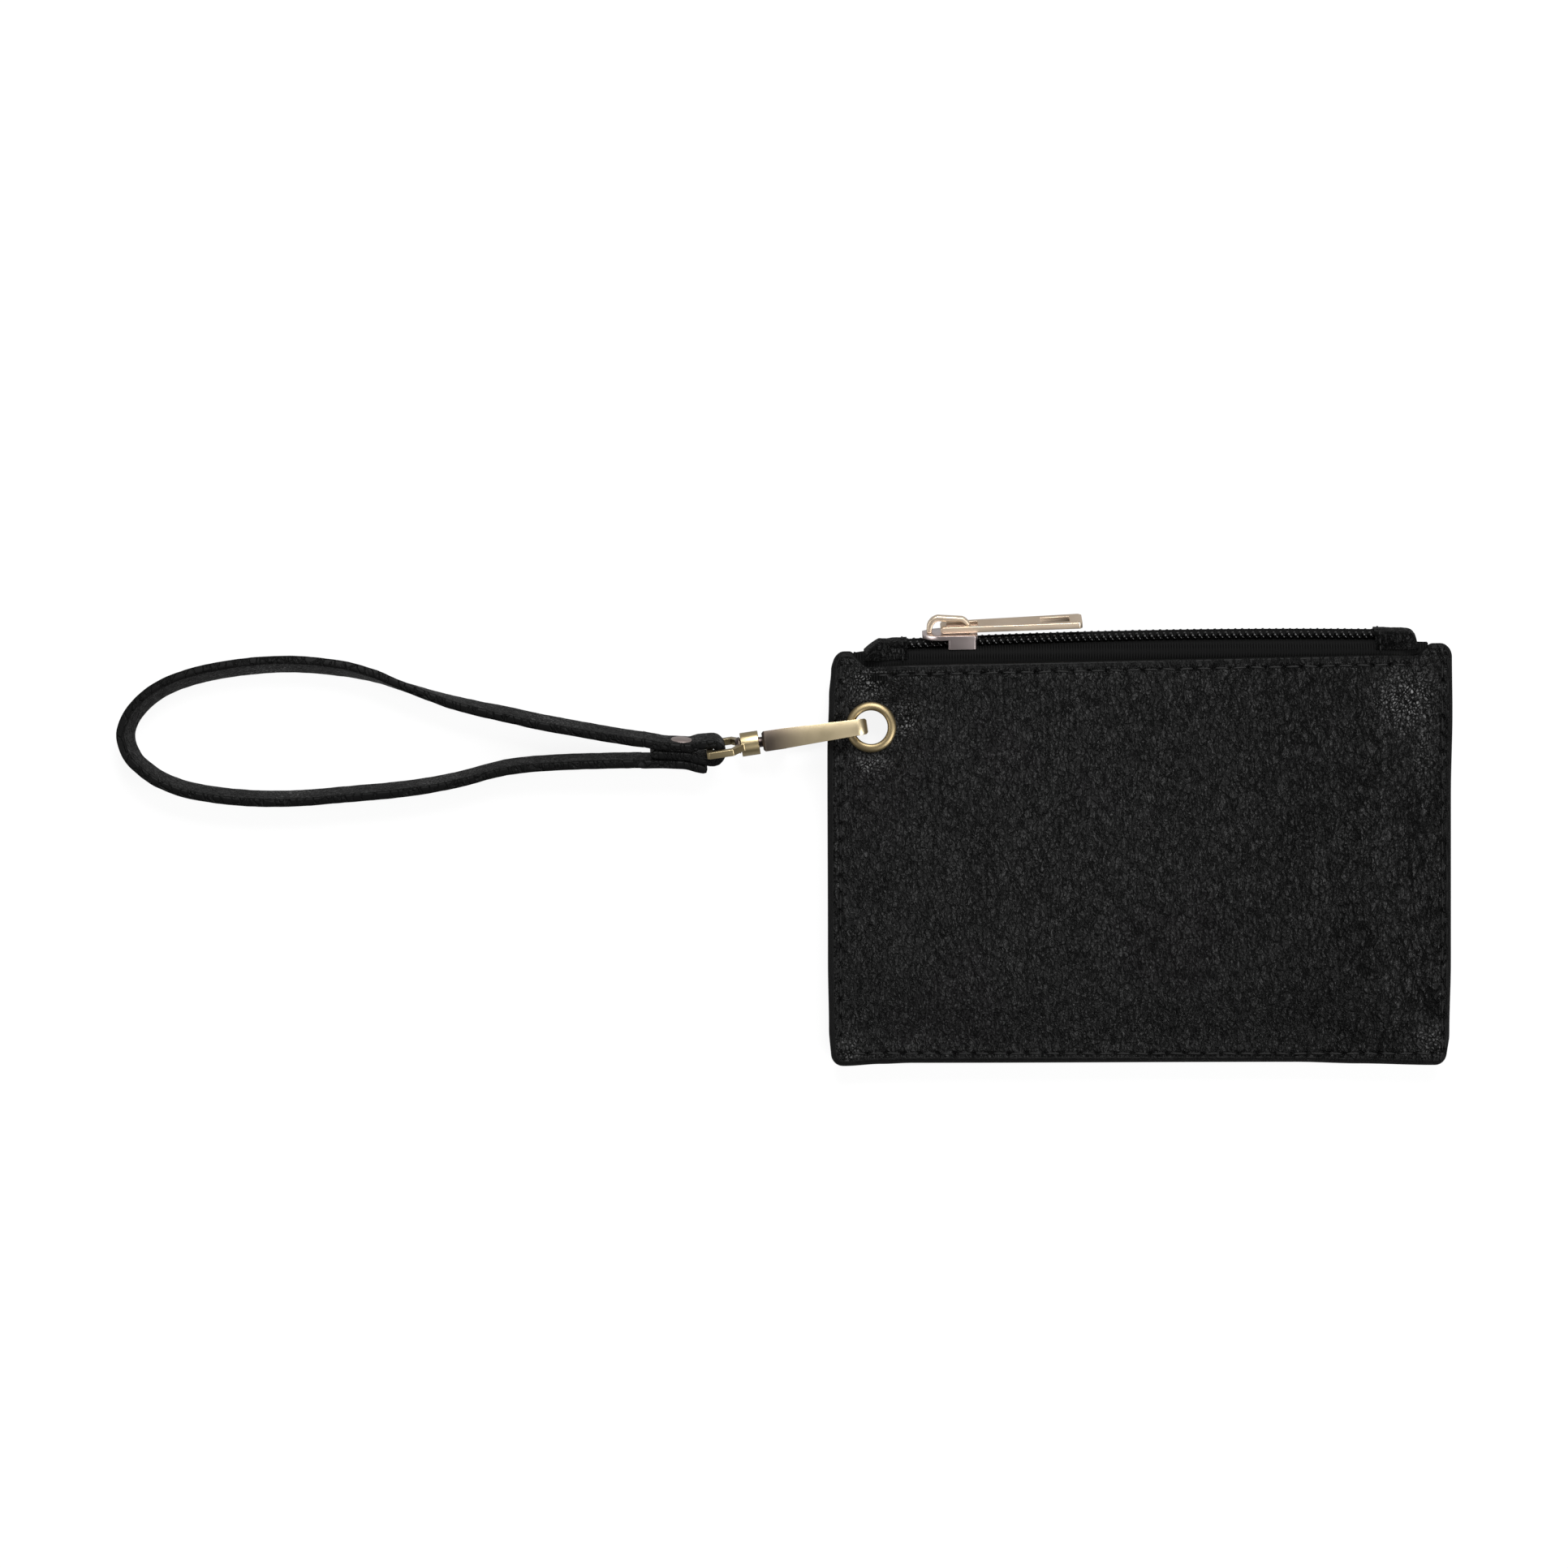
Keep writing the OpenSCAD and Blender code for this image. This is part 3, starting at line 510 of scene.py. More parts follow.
def _ridges(graph: Graph, vector: object, scale: float, width: float) -> bpy.types.NodeSocket:
    """Returns fine wandering lines, 1 on a line and 0 away from it."""
    wave = graph.noise(vector, scale, 3.0, 0.55)
    away = graph.math("ABSOLUTE", graph.math("SUBTRACT", wave, 0.5))
    return graph.span(away, 0.0, width, 1.0, 0.0)


def _grain(graph: Graph, entry: bpy.types.Node) -> dict[str, bpy.types.NodeSocket]:
    """Leather grain: pebbles between pressed wrinkles, slanted folds, cracked spots and painted light."""
    vector = entry.outputs["Vector"]
    warp = graph.add("TexNoise", {"Vector": vector, "Scale": 300.0, "Detail": 4.0, "Roughness": 0.6})
    bent = graph.add("VectorMath", {0: warp.outputs["Color"], 1: (0.0018, 0.0018, 0.0018), 2: vector},
                     operation="MULTIPLY_ADD").outputs[0]
    drawn = graph.add("Mapping", {"Vector": bent, "Rotation": (0.0, 0.0, 0.12), "Scale": (1.0, 0.42, 0.8)})
    cells = graph.span(graph.cells(drawn.outputs[0], 1250.0), 0.0, 0.1, 1.0, 0.0)
    web = graph.math("MAXIMUM", _ridges(graph, drawn.outputs[0], 600.0, 0.03),
                     graph.math("MULTIPLY", cells, 0.55))
    pebble = graph.span(graph.cells(bent, 1500.0), 0.1, 0.34)
    patch = graph.span(graph.noise(vector, 120.0, 3.0), 0.3, 0.7)
    web = graph.math("MULTIPLY", web, graph.math("MULTIPLY_ADD", patch, 0.15, 0.85))
    slanted = graph.add("Mapping", {"Vector": bent, "Rotation": (0.0, 0.0, 0.62), "Scale": (1.0, 0.4, 0.8)})
    gate = graph.span(graph.noise(vector, 160.0, 2.0), 0.38, 0.56)
    fold = graph.math("MULTIPLY", _ridges(graph, slanted.outputs[0], 230.0, 0.026), gate)
    small = graph.span(graph.cells(slanted.outputs[0], 560.0), 0.0, 0.09, 1.0, 0.0)
    fold = graph.math("MAXIMUM", fold, graph.math("MULTIPLY", small, 0.6))
    fold = graph.math("MULTIPLY", fold, entry.outputs["Folds"])
    crack = graph.math("MULTIPLY", graph.span(graph.cells(bent, 640.0), 0.0, 0.13, 1.0, 0.0),
                       entry.outputs["Crackle_glint"])
    height = graph.math("MULTIPLY_ADD", pebble, 0.45, graph.math("MULTIPLY", web, -1.0))
    height = graph.math("MULTIPLY", height, entry.outputs["Relief"])
    height = graph.math("SUBTRACT", height, graph.math("MULTIPLY_ADD", fold, 1.1, crack))
    # Painted highlight: thin light strokes in the tone, with no relief, stand for ridges catching the light.
    strokes = graph.math("MULTIPLY", _ridges(graph, drawn.outputs[0], 900.0, 0.026), 0.9)
    # Painted light: the tone is lighter on the raised pebbles and darker in the pressed wrinkles.
    tone = graph.math("MULTIPLY_ADD", pebble, 0.4, graph.math("ADD", strokes, 0.2))
    tone = graph.math("MULTIPLY", tone, graph.math("SUBTRACT", 1.0, web))
    # Painted shade: the tone and the shine are darkened along the folds and cracks.
    dark = graph.math("SUBTRACT", 1.0, graph.math("MAXIMUM", fold, crack), clamp=True)
    tone = graph.math("MULTIPLY", graph.math("MULTIPLY", tone, entry.outputs["Relief"]), dark, clamp=True)
    # Shine is a painted glint: lighter cells on the cracked spots; it also thickens the coat there.
    shine = graph.math("MULTIPLY", graph.math("MULTIPLY", pebble, dark), entry.outputs["Crackle_glint"], clamp=True)
    return {"Height": height, "Tone": tone, "Shine": shine}


def _wear(graph: Graph, entry: bpy.types.Node) -> dict[str, bpy.types.NodeSocket]:
    """Builds rubbed edges, soft tarnish and a brushed grain for old plating."""
    vector = entry.outputs["Vector"]
    edge = graph.span(entry.outputs["Edge"], 0.51, 0.6)
    patch = graph.noise(vector, 500.0, 4.0, 0.6)
    rub = graph.math("MULTIPLY", edge, graph.math("MULTIPLY_ADD", patch, 0.5, 0.5))
    tarnish = graph.span(graph.noise(vector, 190.0, 2.0), 0.3, 0.7)
    drawn = graph.add("Mapping", {"Vector": vector, "Rotation": (0.0, 0.0, 0.15), "Scale": (14.0, 0.5, 1.0)})
    brushed = graph.noise(drawn.outputs[0], 520.0, 3.0)
    worn = graph.math("MULTIPLY", rub, entry.outputs["Amount"], clamp=True)
    return {"Worn": worn, "Tarnish": tarnish, "Height": brushed}


def _weave(graph: Graph, entry: bpy.types.Node) -> dict[str, bpy.types.NodeSocket]:
    """Builds a ribbed or plain weave from two crossing waves, with painted sheen on the raised threads."""
    cut = graph.add("SeparateXYZ", {0: entry.outputs["Vector"]})
    ribs = graph.math("SINE", graph.math("MULTIPLY", cut.outputs[0], entry.outputs["Ribs"]))
    picks = graph.math("SINE", graph.math("MULTIPLY", cut.outputs[1], entry.outputs["Picks"]))
    height = graph.math("MULTIPLY_ADD", graph.math("MULTIPLY", ribs, picks), 0.25,
                        graph.math("MULTIPLY_ADD", ribs, 0.35, 0.5))
    fuzz = graph.noise(entry.outputs["Vector"], 2600.0, 3.0)
    height = graph.math("ADD", height, graph.math("MULTIPLY", fuzz, 0.3))
    # Painted highlight: the tone follows the height, lighter on the raised threads.
    return {"Height": height, "Tone": graph.math("MULTIPLY", height, 0.8, clamp=True)}


GRAIN = effect("leather_grain", {"Vector": "Vector", "Relief": "Float", "Folds": "Float", "Crackle_glint": "Float"},
               {"Height": "Float", "Tone": "Float", "Shine": "Float"}, _grain)
WEAR = effect("plating_wear", {"Vector": "Vector", "Edge": "Float", "Amount": "Float"},
              {"Worn": "Float", "Tarnish": "Float", "Height": "Float"}, _wear)
WEAVE = effect("thread_weave", {"Vector": "Vector", "Ribs": "Float", "Picks": "Float"},
               {"Height": "Float", "Tone": "Float"}, _weave)

Colour = tuple[float, float, float, float]


def principled(graph: Graph, inputs: dict[str | int, object]) -> None:
    """Ends a material with a principled shader."""
    shader = graph.add("BsdfPrincipled", inputs)
    graph.add("OutputMaterial", {"Surface": shader.outputs[0]})


def relief(graph: Graph, height: object, distance: float, strength: float = 1.0) -> bpy.types.NodeSocket:
    """Returns the normal of a height in metres."""
    return graph.add("Bump", {"Strength": strength, "Distance": distance, "Height": height}).outputs[0]


@dataclass(frozen=True)
class Leather:
    """Coated leather: grained in the field, smooth and painted on its edges."""

    name: str
    low: Colour
    high: Colour
    # Colour of the painted glint that Shine marks.
    shine: Colour
    paint: Colour
    depth: float = 0.00045
    gloss: float = 0.07
    polish: float = 0.36
    folds: float | None = None
    rough: tuple[float, float] = (0.5, 0.32)
    marked: bool = True

    def material(self) -> bpy.types.Material:
        """Builds the material.

        Returns:
            A material that reads the marks rim, crackle, folds and pit where the piece has them.
        """
        made, graph = new_material(self.name)
        rim, crackle_glint, folds, pit = ((graph.attribute(mark) if self.marked else 0.0)
                                    for mark in ("rim", "crackle_glint", "folds", "pit"))
        on_rim = graph.span(rim, 0.04, 0.12)
        grained = graph.math("SUBTRACT", 1.0, on_rim, clamp=True)
        grain = graph.add("Group", {"Vector": graph.place(), "Relief": grained,
                                    "Folds": folds if self.folds is None else self.folds,
                                    "Crackle_glint": crackle_glint}, node_tree=GRAIN)
        layers = graph.span(graph.math("COSINE", graph.math("MULTIPLY", rim, math.tau * 2.6)), 0.85, 1.0)
        lined = graph.math("MULTIPLY", layers, on_rim)
        colour = graph.blend(grain.outputs["Tone"], self.low, self.high)
        # Painted glint: the cells that Shine marks take the lighter shine colour.
        colour = graph.blend(grain.outputs["Shine"], colour, self.shine)
        colour = graph.blend(graph.math("MULTIPLY", on_rim, 0.8), colour, self.paint)
        # Painted shade in the needle holes, and the edge's own dark layer lines, both in near-black.
        hollow = graph.math("MAXIMUM", pit, graph.math("MULTIPLY", lined, 0.7))
        colour = graph.blend(hollow, colour, grey(0.001))
        rough = graph.ramp(grain.outputs["Tone"], self.rough)
        rough = graph.math("MULTIPLY_ADD", grain.outputs["Shine"], -0.12, rough, clamp=True)
        height = graph.math("MULTIPLY_ADD", lined, -1.0, grain.outputs["Height"])
        finish = {"Base Color": colour, "Roughness": rough, "Specular IOR Level": self.gloss,
                  "Normal": relief(graph, height, self.depth)}
        if self.marked:
            finish["Coat Weight"] = graph.math("MULTIPLY", grain.outputs["Shine"], 0.8, clamp=True)
            finish["Coat Roughness"] = self.polish
        principled(graph, finish)
        return made


@dataclass(frozen=True)
class Plating:
    """Plated metal with soft patches of tarnish, worn bright on its edges."""

    name: str
    base: Colour
    worn: Colour
    rough: tuple[float, float] = (0.26, 0.36)
    wear: float = 0.7
    fade: tuple[float, float] | None = None
    far: Colour = (0.0, 0.0, 0.0, 1.0)

    def material(self) -> bpy.types.Material:
        """Builds the material.

        Returns:
            A material that turns to the far colour between the two fade positions along X, if it has them.
        """
        made, graph = new_material(self.name)
        place = graph.place()
        edge = graph.add("NewGeometry").outputs["Pointiness"]
        wear = graph.add("Group", {"Vector": place, "Edge": edge, "Amount": self.wear}, node_tree=WEAR)
        base = self.base
        if self.fade:
            along = graph.add("SeparateXYZ", {0: place}).outputs[0]
            base = graph.blend(graph.span(along, *self.fade), self.base, self.far)
        tarnished = graph.blend(graph.math("MULTIPLY", wear.outputs["Tarnish"], 0.35), base,
                                tuple(0.55 * c for c in self.base[:3]) + (1.0,))
        rough = graph.ramp(wear.outputs["Tarnish"], self.rough)
        principled(graph, {"Base Color": graph.blend(wear.outputs["Worn"], tarnished, self.worn),
                           "Metallic": 1.0, "Roughness": rough,
                           "Normal": relief(graph, wear.outputs["Height"], 0.000008, 0.4)})
        return made


@dataclass(frozen=True)
class Cloth:
    """Woven cloth or fibre board, by its ribs and picks a metre."""

    name: str
    low: Colour
    high: Colour
    ribs: float
    picks: float
    depth: float = 0.00008
    gloss: float = 0.1

    def material(self) -> bpy.types.Material:
        """Builds the material."""
        made, graph = new_material(self.name)
        weave = graph.add("Group", {"Vector": graph.place(), "Ribs": math.tau * self.ribs,
                                    "Picks": math.tau * self.picks}, node_tree=WEAVE)
        rough = graph.span(weave.outputs["Tone"], 0.0, 1.0, 0.85, 0.65)
        principled(graph, {"Base Color": graph.blend(weave.outputs["Tone"], self.low, self.high),
                           "Roughness": rough, "Specular IOR Level": self.gloss,
                           "Normal": relief(graph, weave.outputs["Height"], self.depth)})
        return made


@dataclass(frozen=True)
class Filament:
    """Nylon or waxed thread: dark, satin, with fine streaks along it."""

    name: str
    low: Colour
    high: Colour
    rough: tuple[float, float] = (0.28, 0.45)
    streaks: float = 1800.0
    depth: float = 0.00003
    gloss: float = 0.4

    def material(self) -> bpy.types.Material:
        """Builds the material."""
        made, graph = new_material(self.name)
        place = graph.place()
        streak = graph.noise(place, self.streaks, 2.0)
        patch = graph.noise(place, 300.0, 2.0)
        rough = graph.ramp(patch, self.rough)
        principled(graph, {"Base Color": graph.blend(patch, self.low, self.high), "Roughness": rough,
                           "Specular IOR Level": self.gloss, "Normal": relief(graph, streak, self.depth)})
        return made


def grey(value: float, warm: float = 0.0) -> Colour:
    """Returns a near-neutral colour, warmer with a larger warm."""
    return (value * (1.0 + warm), value, value * (1.0 - warm), 1.0)


PANEL_LEATHER = Leather("panel_leather", grey(0.0004), grey(0.0275), grey(0.14), grey(0.004))
TAB_LEATHER = Leather("tab_leather", grey(0.0004), grey(0.012), grey(0.05), grey(0.001), gloss=0.03,
                      folds=0.7, marked=False)
STRAP_LEATHER = Leather("strap_leather", grey(0.0005), grey(0.02), grey(0.05), grey(0.003), folds=0.8)
EYELET_BRASS = Plating("antique_brass", (0.23, 0.18, 0.1, 1.0), (0.38, 0.3, 0.18, 1.0), (0.42, 0.5), 0.3)
# The hook's plating turns from a dark colour to a light one between two places along X.
HOOK_METAL = Plating("hook_plating_fading_along_arm", (0.11, 0.085, 0.08, 1.0), (0.65, 0.55, 0.36, 1.0), (0.3, 0.4), 0.4,
                     (-0.0735, -0.0605), (0.76, 0.63, 0.4, 1.0))
RING_METAL = Plating("ring_brass", (0.36, 0.29, 0.165, 1.0), (0.6, 0.5, 0.33, 1.0), (0.32, 0.4), 0.4)
PULL_METAL = Plating("light_antique_plating", (0.62, 0.5, 0.38, 1.0), (0.85, 0.75, 0.59, 1.0), (0.4, 0.48),
                     0.9)
SLIDER_METAL = Plating("rose_nickel", (0.56, 0.48, 0.47, 1.0), (0.8, 0.7, 0.68, 1.0), (0.26, 0.34), 0.6)
RIVET_METAL = Plating("rivet_nickel", (0.34, 0.28, 0.265, 1.0), (0.55, 0.48, 0.45, 1.0), (0.34, 0.4), 0.3)
GATE_METAL = Plating("dark_gate", (0.04, 0.035, 0.033, 1.0), (0.3, 0.25, 0.2, 1.0), (0.3, 0.45), 0.4)
SPRING_STEEL = Plating("spring_wire", (0.4, 0.4, 0.4, 1.0), (0.6, 0.6, 0.6, 1.0), (0.2, 0.3), 0.3)
THREAD = Filament("waxed_thread", grey(0.0006), grey(0.002), (0.45, 0.6), 2600.0, 0.00005, 0.15)
COIL_NYLON = Filament("nylon_coil", grey(0.0005), grey(0.001), (0.16, 0.24), gloss=0.3)
TAPE = Cloth("ribbed_tape", grey(0.0004), grey(0.004), 1900.0, 500.0, 0.00012, 0.05)
LINING = Cloth("lining_cloth", grey(0.001), grey(0.003), 2200.0, 2200.0)
# Near-black so that where the board shows at the pouch's edges it reads as shade inside: painted shade.
BOARD = Cloth("stiffener_board", grey(0.003), grey(0.006), 400.0, 300.0, 0.00003)


# ---- Pouch --------------------------------------------------------------------------------------


@dataclass(frozen=True)
class Crease:
    """A soft fold line pressed into the leather, in millimetres."""

    start: tuple[float, float]
    end: tuple[float, float]
    width: float = 1.2
    depth: float = 0.15

    def push(self, x: float, y: float) -> float:
        """Returns how far the fold sinks the leather at a place, in millimetres."""
        (ax, ay), (bx, by) = self.start, self.end
        dx, dy = bx - ax, by - ay
        along = ((x - ax) * dx + (y - ay) * dy) / (dx * dx + dy * dy)
        if not -0.2 < along < 1.2:
            return 0.0
        away = abs((x - ax) * dy - (y - ay) * dx) / math.hypot(dx, dy)
        within = smooth(-0.2, 0.3, along) * (1.0 - smooth(0.7, 1.2, along))
        return self.depth * hump(away, self.width) * within


@dataclass(frozen=True)
class StitchRow:
    """One straight row of stitches, by its middle, direction and number."""

    middle: tuple[float, float]
    degrees: float
    count: int

    def heading(self) -> tuple[float, float]:
        """Returns the cosine and the sine of the row's direction."""
        return math.cos(math.radians(self.degrees)), math.sin(math.radians(self.degrees))

    def local(self, x: float, y: float) -> tuple[float, float]:
        """Returns how far a place is along the row from its middle, and how far away from the row."""
        c, s = self.heading()
        dx, dy = x - self.middle[0], y - self.middle[1]
        return c * dx + s * dy, c * dy - s * dx

    def places(self) -> list[tuple[float, float]]:
        """Returns the middle of each stitch."""
        c, s = self.heading()
        steps = [(i - (self.count - 1) / 2) * LAYOUT.stitch_pitch for i in range(self.count)]
        return [(self.middle[0] + c * step, self.middle[1] + s * step) for step in steps]

    def press(self, x: float, y: float) -> float:
        """Returns the height that the row gives the leather at a place, in millimetres."""
        along, away = self.local(x, y)
        reach = self.count * LAYOUT.stitch_pitch / 2
        if abs(away) > 2.5 or abs(along) > reach + 1.5:
            return 0.0
        shift = 0.0 if self.count % 2 else 0.5
        wave = math.cos(math.tau * (along / LAYOUT.stitch_pitch + shift))
        inside = 1.0 - smooth(reach - 0.3, reach + 1.2, abs(along))
        groove = hump(away, 0.36) * (0.14 + 0.42 * (0.5 - 0.5 * wave) ** 3)
        pucker = 0.22 * (0.5 - 0.5 * wave) * (hump(away - 0.85, 0.34) + hump(away + 0.85, 0.34))
        return (pucker - groove) * inside

    def pit(self, x: float, y: float) -> float:
        """Returns the mask of painted shade: 1 in a needle hole between two stitches and 0 away from them."""
        along, away = self.local(x, y)
        if abs(away) > 1.2 or abs(along) > (self.count + 1) * LAYOUT.stitch_pitch / 2:
            return 0.0
        near = (along / LAYOUT.stitch_pitch + (0.0 if self.count % 2 == 0 else 0.5)) % 1.0
        gap = min(near, 1.0 - near) * LAYOUT.stitch_pitch
        return 0.85 - 0.85 * smooth(0.26, 0.6, math.hypot(gap * 0.6, away))


@dataclass
class PouchFace:
    """One face of the pouch: the leather, its board and lining, and its stitches."""

    side: Side
    step: float = 0.57
    fine: tuple[float, ...] = (0.0, 0.06, 0.18, 0.36, 0.6, 0.86, 1.1, 1.3, 1.5, 1.75, 2.0, 2.25, 2.5, 2.8,
                               3.2)
    corner: float = 2.2
    ear_corner: float = 1.7
    rim: float = 1.2
    lip: float = 0.42
    rim_drop: float = 1.35
    skin: float = 0.55
    flange_end: float = 3.2
    slope_end: float = 15.0
    hole: float = 3.72
    layer_grid: tuple[int, int] = (80, 54)
    stitch: tuple[float, float, float] = (1.32, 0.25, 0.18)
    left: tuple[tuple[float, float], ...] = ((-40.0, -59.6), (-33.0, -60.1), (-20.0, -60.3), (20.0, -60.4),
                                             (31.0, -60.1), (36.0, -59.7), (39.5, -58.9))
    right: tuple[tuple[float, float], ...] = ((-39.0, 58.9), (-34.0, 59.5), (-20.0, 59.8), (12.0, 59.8),
                                              (28.0, 60.1), (38.6, 60.0), (41.3, 59.4))
    low: tuple[tuple[float, float], ...] = ((-57.0, -40.3), (-50.0, -39.9), (-44.0, -39.7), (30.0, -39.5),
                                            (42.0, -39.8), (56.0, -40.1))
    creases: tuple[Crease, ...] = (
        Crease((33.0, -6.0), (47.0, 9.0), 1.3, 0.2), Crease((38.0, -9.0), (52.0, 4.0), 1.0, 0.15),
        Crease((44.0, 10.0), (52.0, 22.0), 1.2, 0.16), Crease((28.0, -14.0), (40.0, -20.0), 1.6, 0.12),
        Crease((-44.0, 28.0), (-36.0, 33.0), 1.0, 0.16), Crease((-45.0, 21.0), (-35.0, 17.0), 1.1, 0.16),
        Crease((-50.0, 15.0), (-46.0, 4.0), 1.2, 0.14), Crease((-20.0, 10.0), (-4.0, 16.0), 2.2, 0.1),
        Crease((5.0, -20.0), (22.0, -26.0), 2.4, 0.1), Crease((48.0, -24.0), (55.0, -34.0), 1.0, 0.15),
        Crease((-54.0, -20.0), (-44.0, -32.0), 1.6, 0.12), Crease((10.0, 22.0), (26.0, 27.0), 1.8, 0.1))
    # Cracked spots with a painted glint: middle x and y, radius across and up, and strength.
    crackle_glint_spots: tuple[tuple[float, float, float, float, float], ...] = (
        (-52.5, 33.4, 3.4, 2.6, 1.0), (-45.2, 26.5, 1.8, 3.2, 0.9), (-52.0, 17.6, 3.0, 1.6, 0.6),
        (50.5, 30.0, 4.5, 4.6, 1.0), (54.2, 20.0, 1.8, 6.0, 0.3), (55.6, -35.5, 1.8, 2.4, 0.9),
        (42.0, 4.0, 8.0, 7.0, 0.1), (-56.3, -36.5, 1.8, 2.4, 0.5))

    def rows(self) -> dict[str, list[StitchRow]]:
        """Returns the stitch rows of the seam and of the mouth."""
        inset = LAYOUT.stitch_inset
        side_x = LAYOUT.half_width - inset
        return {"seam": [StitchRow((-side_x + 0.1, -0.2), 90.0, 22), StitchRow((side_x, 0.0), 90.0, 22),
                         StitchRow((0.0, LAYOUT.bottom + inset + 0.15), 0.0, 33)],
                "mouth": [StitchRow((0.0, LAYOUT.mouth - inset), LAYOUT.top_slope, 30)]}

    def top(self, x: float) -> float:
        """Returns the height of the top edge, over the ears and along the mouth."""
        ear = LAYOUT.ear_top + (x + LAYOUT.half_width) * math.tan(math.radians(LAYOUT.ear_slope))
        mouth = LAYOUT.mouth + x * math.tan(math.radians(LAYOUT.top_slope))
        return ear + (mouth - ear) * self.in_mouth(x)

    def in_mouth(self, x: float) -> float:
        """Returns 1 along the mouth and 0 over the ears."""
        inside = LAYOUT.half_width - LAYOUT.ear_width + 0.4 - abs(x)
        return smooth(0.0, 1.0, inside / (LAYOUT.ear_curve + 0.6))

    def edges(self, x: float, y: float) -> tuple[float, float, float, float]:
        """Returns the distances to the left, right, bottom and top edges."""
        return (x - follow(self.left, y), follow(self.right, y) - x, y - follow(self.low, x), self.top(x) - y)

    def from_outline(self, x: float, y: float) -> float:
        """Returns the distance to the nearest edge, with round corners and the narrow lip spread out."""
        left, right, low, top = self.edges(x, y)
        lip = self.rim + (self.lip - self.rim) * self.in_mouth(x)
        near = min(left, right, low, top * self.rim / lip)
        for a, b, radius in ((left, low, self.corner), (right, low, self.corner),
                             (left, top, self.ear_corner), (right, top, self.ear_corner)):
            if a < radius and b < radius:
                near = min(near, radius - math.hypot(radius - a, radius - b))
        return max(0.0, near)

    def body(self, x: float, y: float) -> float:
        """Returns the outer height of the filled-out face above the table, without seams."""
        left, right, low, _ = self.edges(x, y)
        fall = sum((1.0 - smooth(self.flange_end, self.slope_end, d)) ** 2.5 for d in (left, right, low))
        rise = max(0.0, 1.0 - fall ** 0.4)
        away = math.hypot(x - LAYOUT.eyelet[0], y - LAYOUT.eyelet[1])
        rise *= smooth(5.3, 11.8, away)
        return LAYOUT.mid + LAYOUT.flange + (LAYOUT.thickness - LAYOUT.mid - LAYOUT.flange) * rise

    def surface(self, x: float, y: float) -> tuple[float, Marks]:
        """Works out the leather's outer surface at a place.

        Args:
            x: Distance across the pouch.
            y: Distance up the pouch.

        Returns:
            The height and the marks rim, crackle, folds and pit.
        """
        edge = self.from_outline(x, y)
        back = 0.0 if self.side is Side.FRONT else 37.0
        height = self.body(x, y)
        loose = smooth(2.8, 7.0, edge)
        height += loose * 0.22 * noise.noise(Vector((x / 17.0, y / 17.0, back)))
        height += loose * 0.08 * noise.noise(Vector((x / 6.0, y / 6.0, back + 5.0)))
        height += 0.035 * noise.noise(Vector((x / 2.4, y / 2.4, back + 9.0)))
        if self.side is Side.FRONT:
            height -= loose * sum(crease.push(x, y) for crease in self.creases)
        rows = [row for group in self.rows().values() for row in group]
        height += sum(row.press(x, y) for row in rows)
        pit = max(row.pit(x, y) for row in rows)
        ex, ey = x - LAYOUT.eyelet[0], y - LAYOUT.eyelet[1]
        away, turn = math.hypot(ex, ey), math.atan2(ey, ex)
        height += 0.16 * math.cos(9.0 * turn + 0.8 + 1.4 * math.sin(2.0 * turn)) * hump(away - 6.4, 1.5)
        band = min(self.edges(x, y))
        height += 0.15 * hump(band - self.rim - 0.42, 0.2) - 0.16 * hump(edge - self.rim - 0.1, 0.14)
        if edge < self.rim:
            t = 1.0 - edge / self.rim
            height -= self.rim_drop * (1.0 - math.sqrt(max(0.0, 1.0 - t ** 2.2)))
        rim = max(1.0 - edge / self.rim, 0.09 * (1.0 - smooth(1.1, 1.5, band)))
        crackle_glint = max(power * hump(math.hypot((x - cx) / rx, (y - cy) / ry), 1.0)
                      for cx, cy, rx, ry, power in self.crackle_glint_spots)
        folds = smooth(-12.0, 44.0, x + 9.0 * noise.noise(Vector((x / 15.0, y / 15.0, back + 20.0))))
        return height, (rim, crackle_glint, 0.12 + 0.88 * folds, pit)

    def lay(self, height: float) -> float:
        """Returns a front height turned over for the back face."""
        return height if self.side is Side.FRONT else 2.0 * LAYOUT.mid - height

    def plan(self, across: float, up: float) -> tuple[float, float]:
        """Maps an even rectangle of the pouch's size to its outline.

        Args:
            across: 0 to 1 from left to right.
            up: 0 to 1 from bottom to top.

        Returns:
            The place in the outline.
        """
        x = LAYOUT.half_width * (2.0 * across - 1.0)
        low, high = follow(self.low, x), self.top(x)
        y = low + (high - low) * up

        def pull(gap: float, radius: float) -> float:
            """Returns how far a rounded corner pulls the side in."""
            return radius - math.sqrt(radius ** 2 - (radius - gap) ** 2) if gap < radius else 0.0

        shift = max(pull(max(0.0, y - low), self.corner), pull(max(0.0, high - y), self.ear_corner))
        left, right = follow(self.left, y) + shift, follow(self.right, y) - shift
        x = left + (right - left) * across
        low, high = follow(self.low, x), self.top(x)
        return x, low + (high - low) * up

    def leather(self) -> bpy.types.Object:
        """Models the face's leather with its eyelet hole."""
        width, tall = 2.0 * LAYOUT.half_width, LAYOUT.ear_top - LAYOUT.bottom
        xs, ys = stations(width, self.step, self.fine), stations(tall, self.step, self.fine)

        def place(column: int, row: int) -> tuple[Vector, Marks]:
            """Places one point of the leather."""
            x, y = self.plan(xs[column] / width, ys[row] / tall)
            height, marks = self.surface(x, y)
            return MM * Vector((x, y, self.lay(height))), marks

        piece = shaped_grid(f"{self.side.word}_leather", len(xs) - 1, len(ys) - 1, place,
                            ("rim", "crackle_glint", "folds", "pit"))
        self.pierce(piece)
        modify(piece, "SOLIDIFY", thickness=self.skin * MM, offset=-self.side.value, use_even_offset=False)
        return finish_soft(piece)

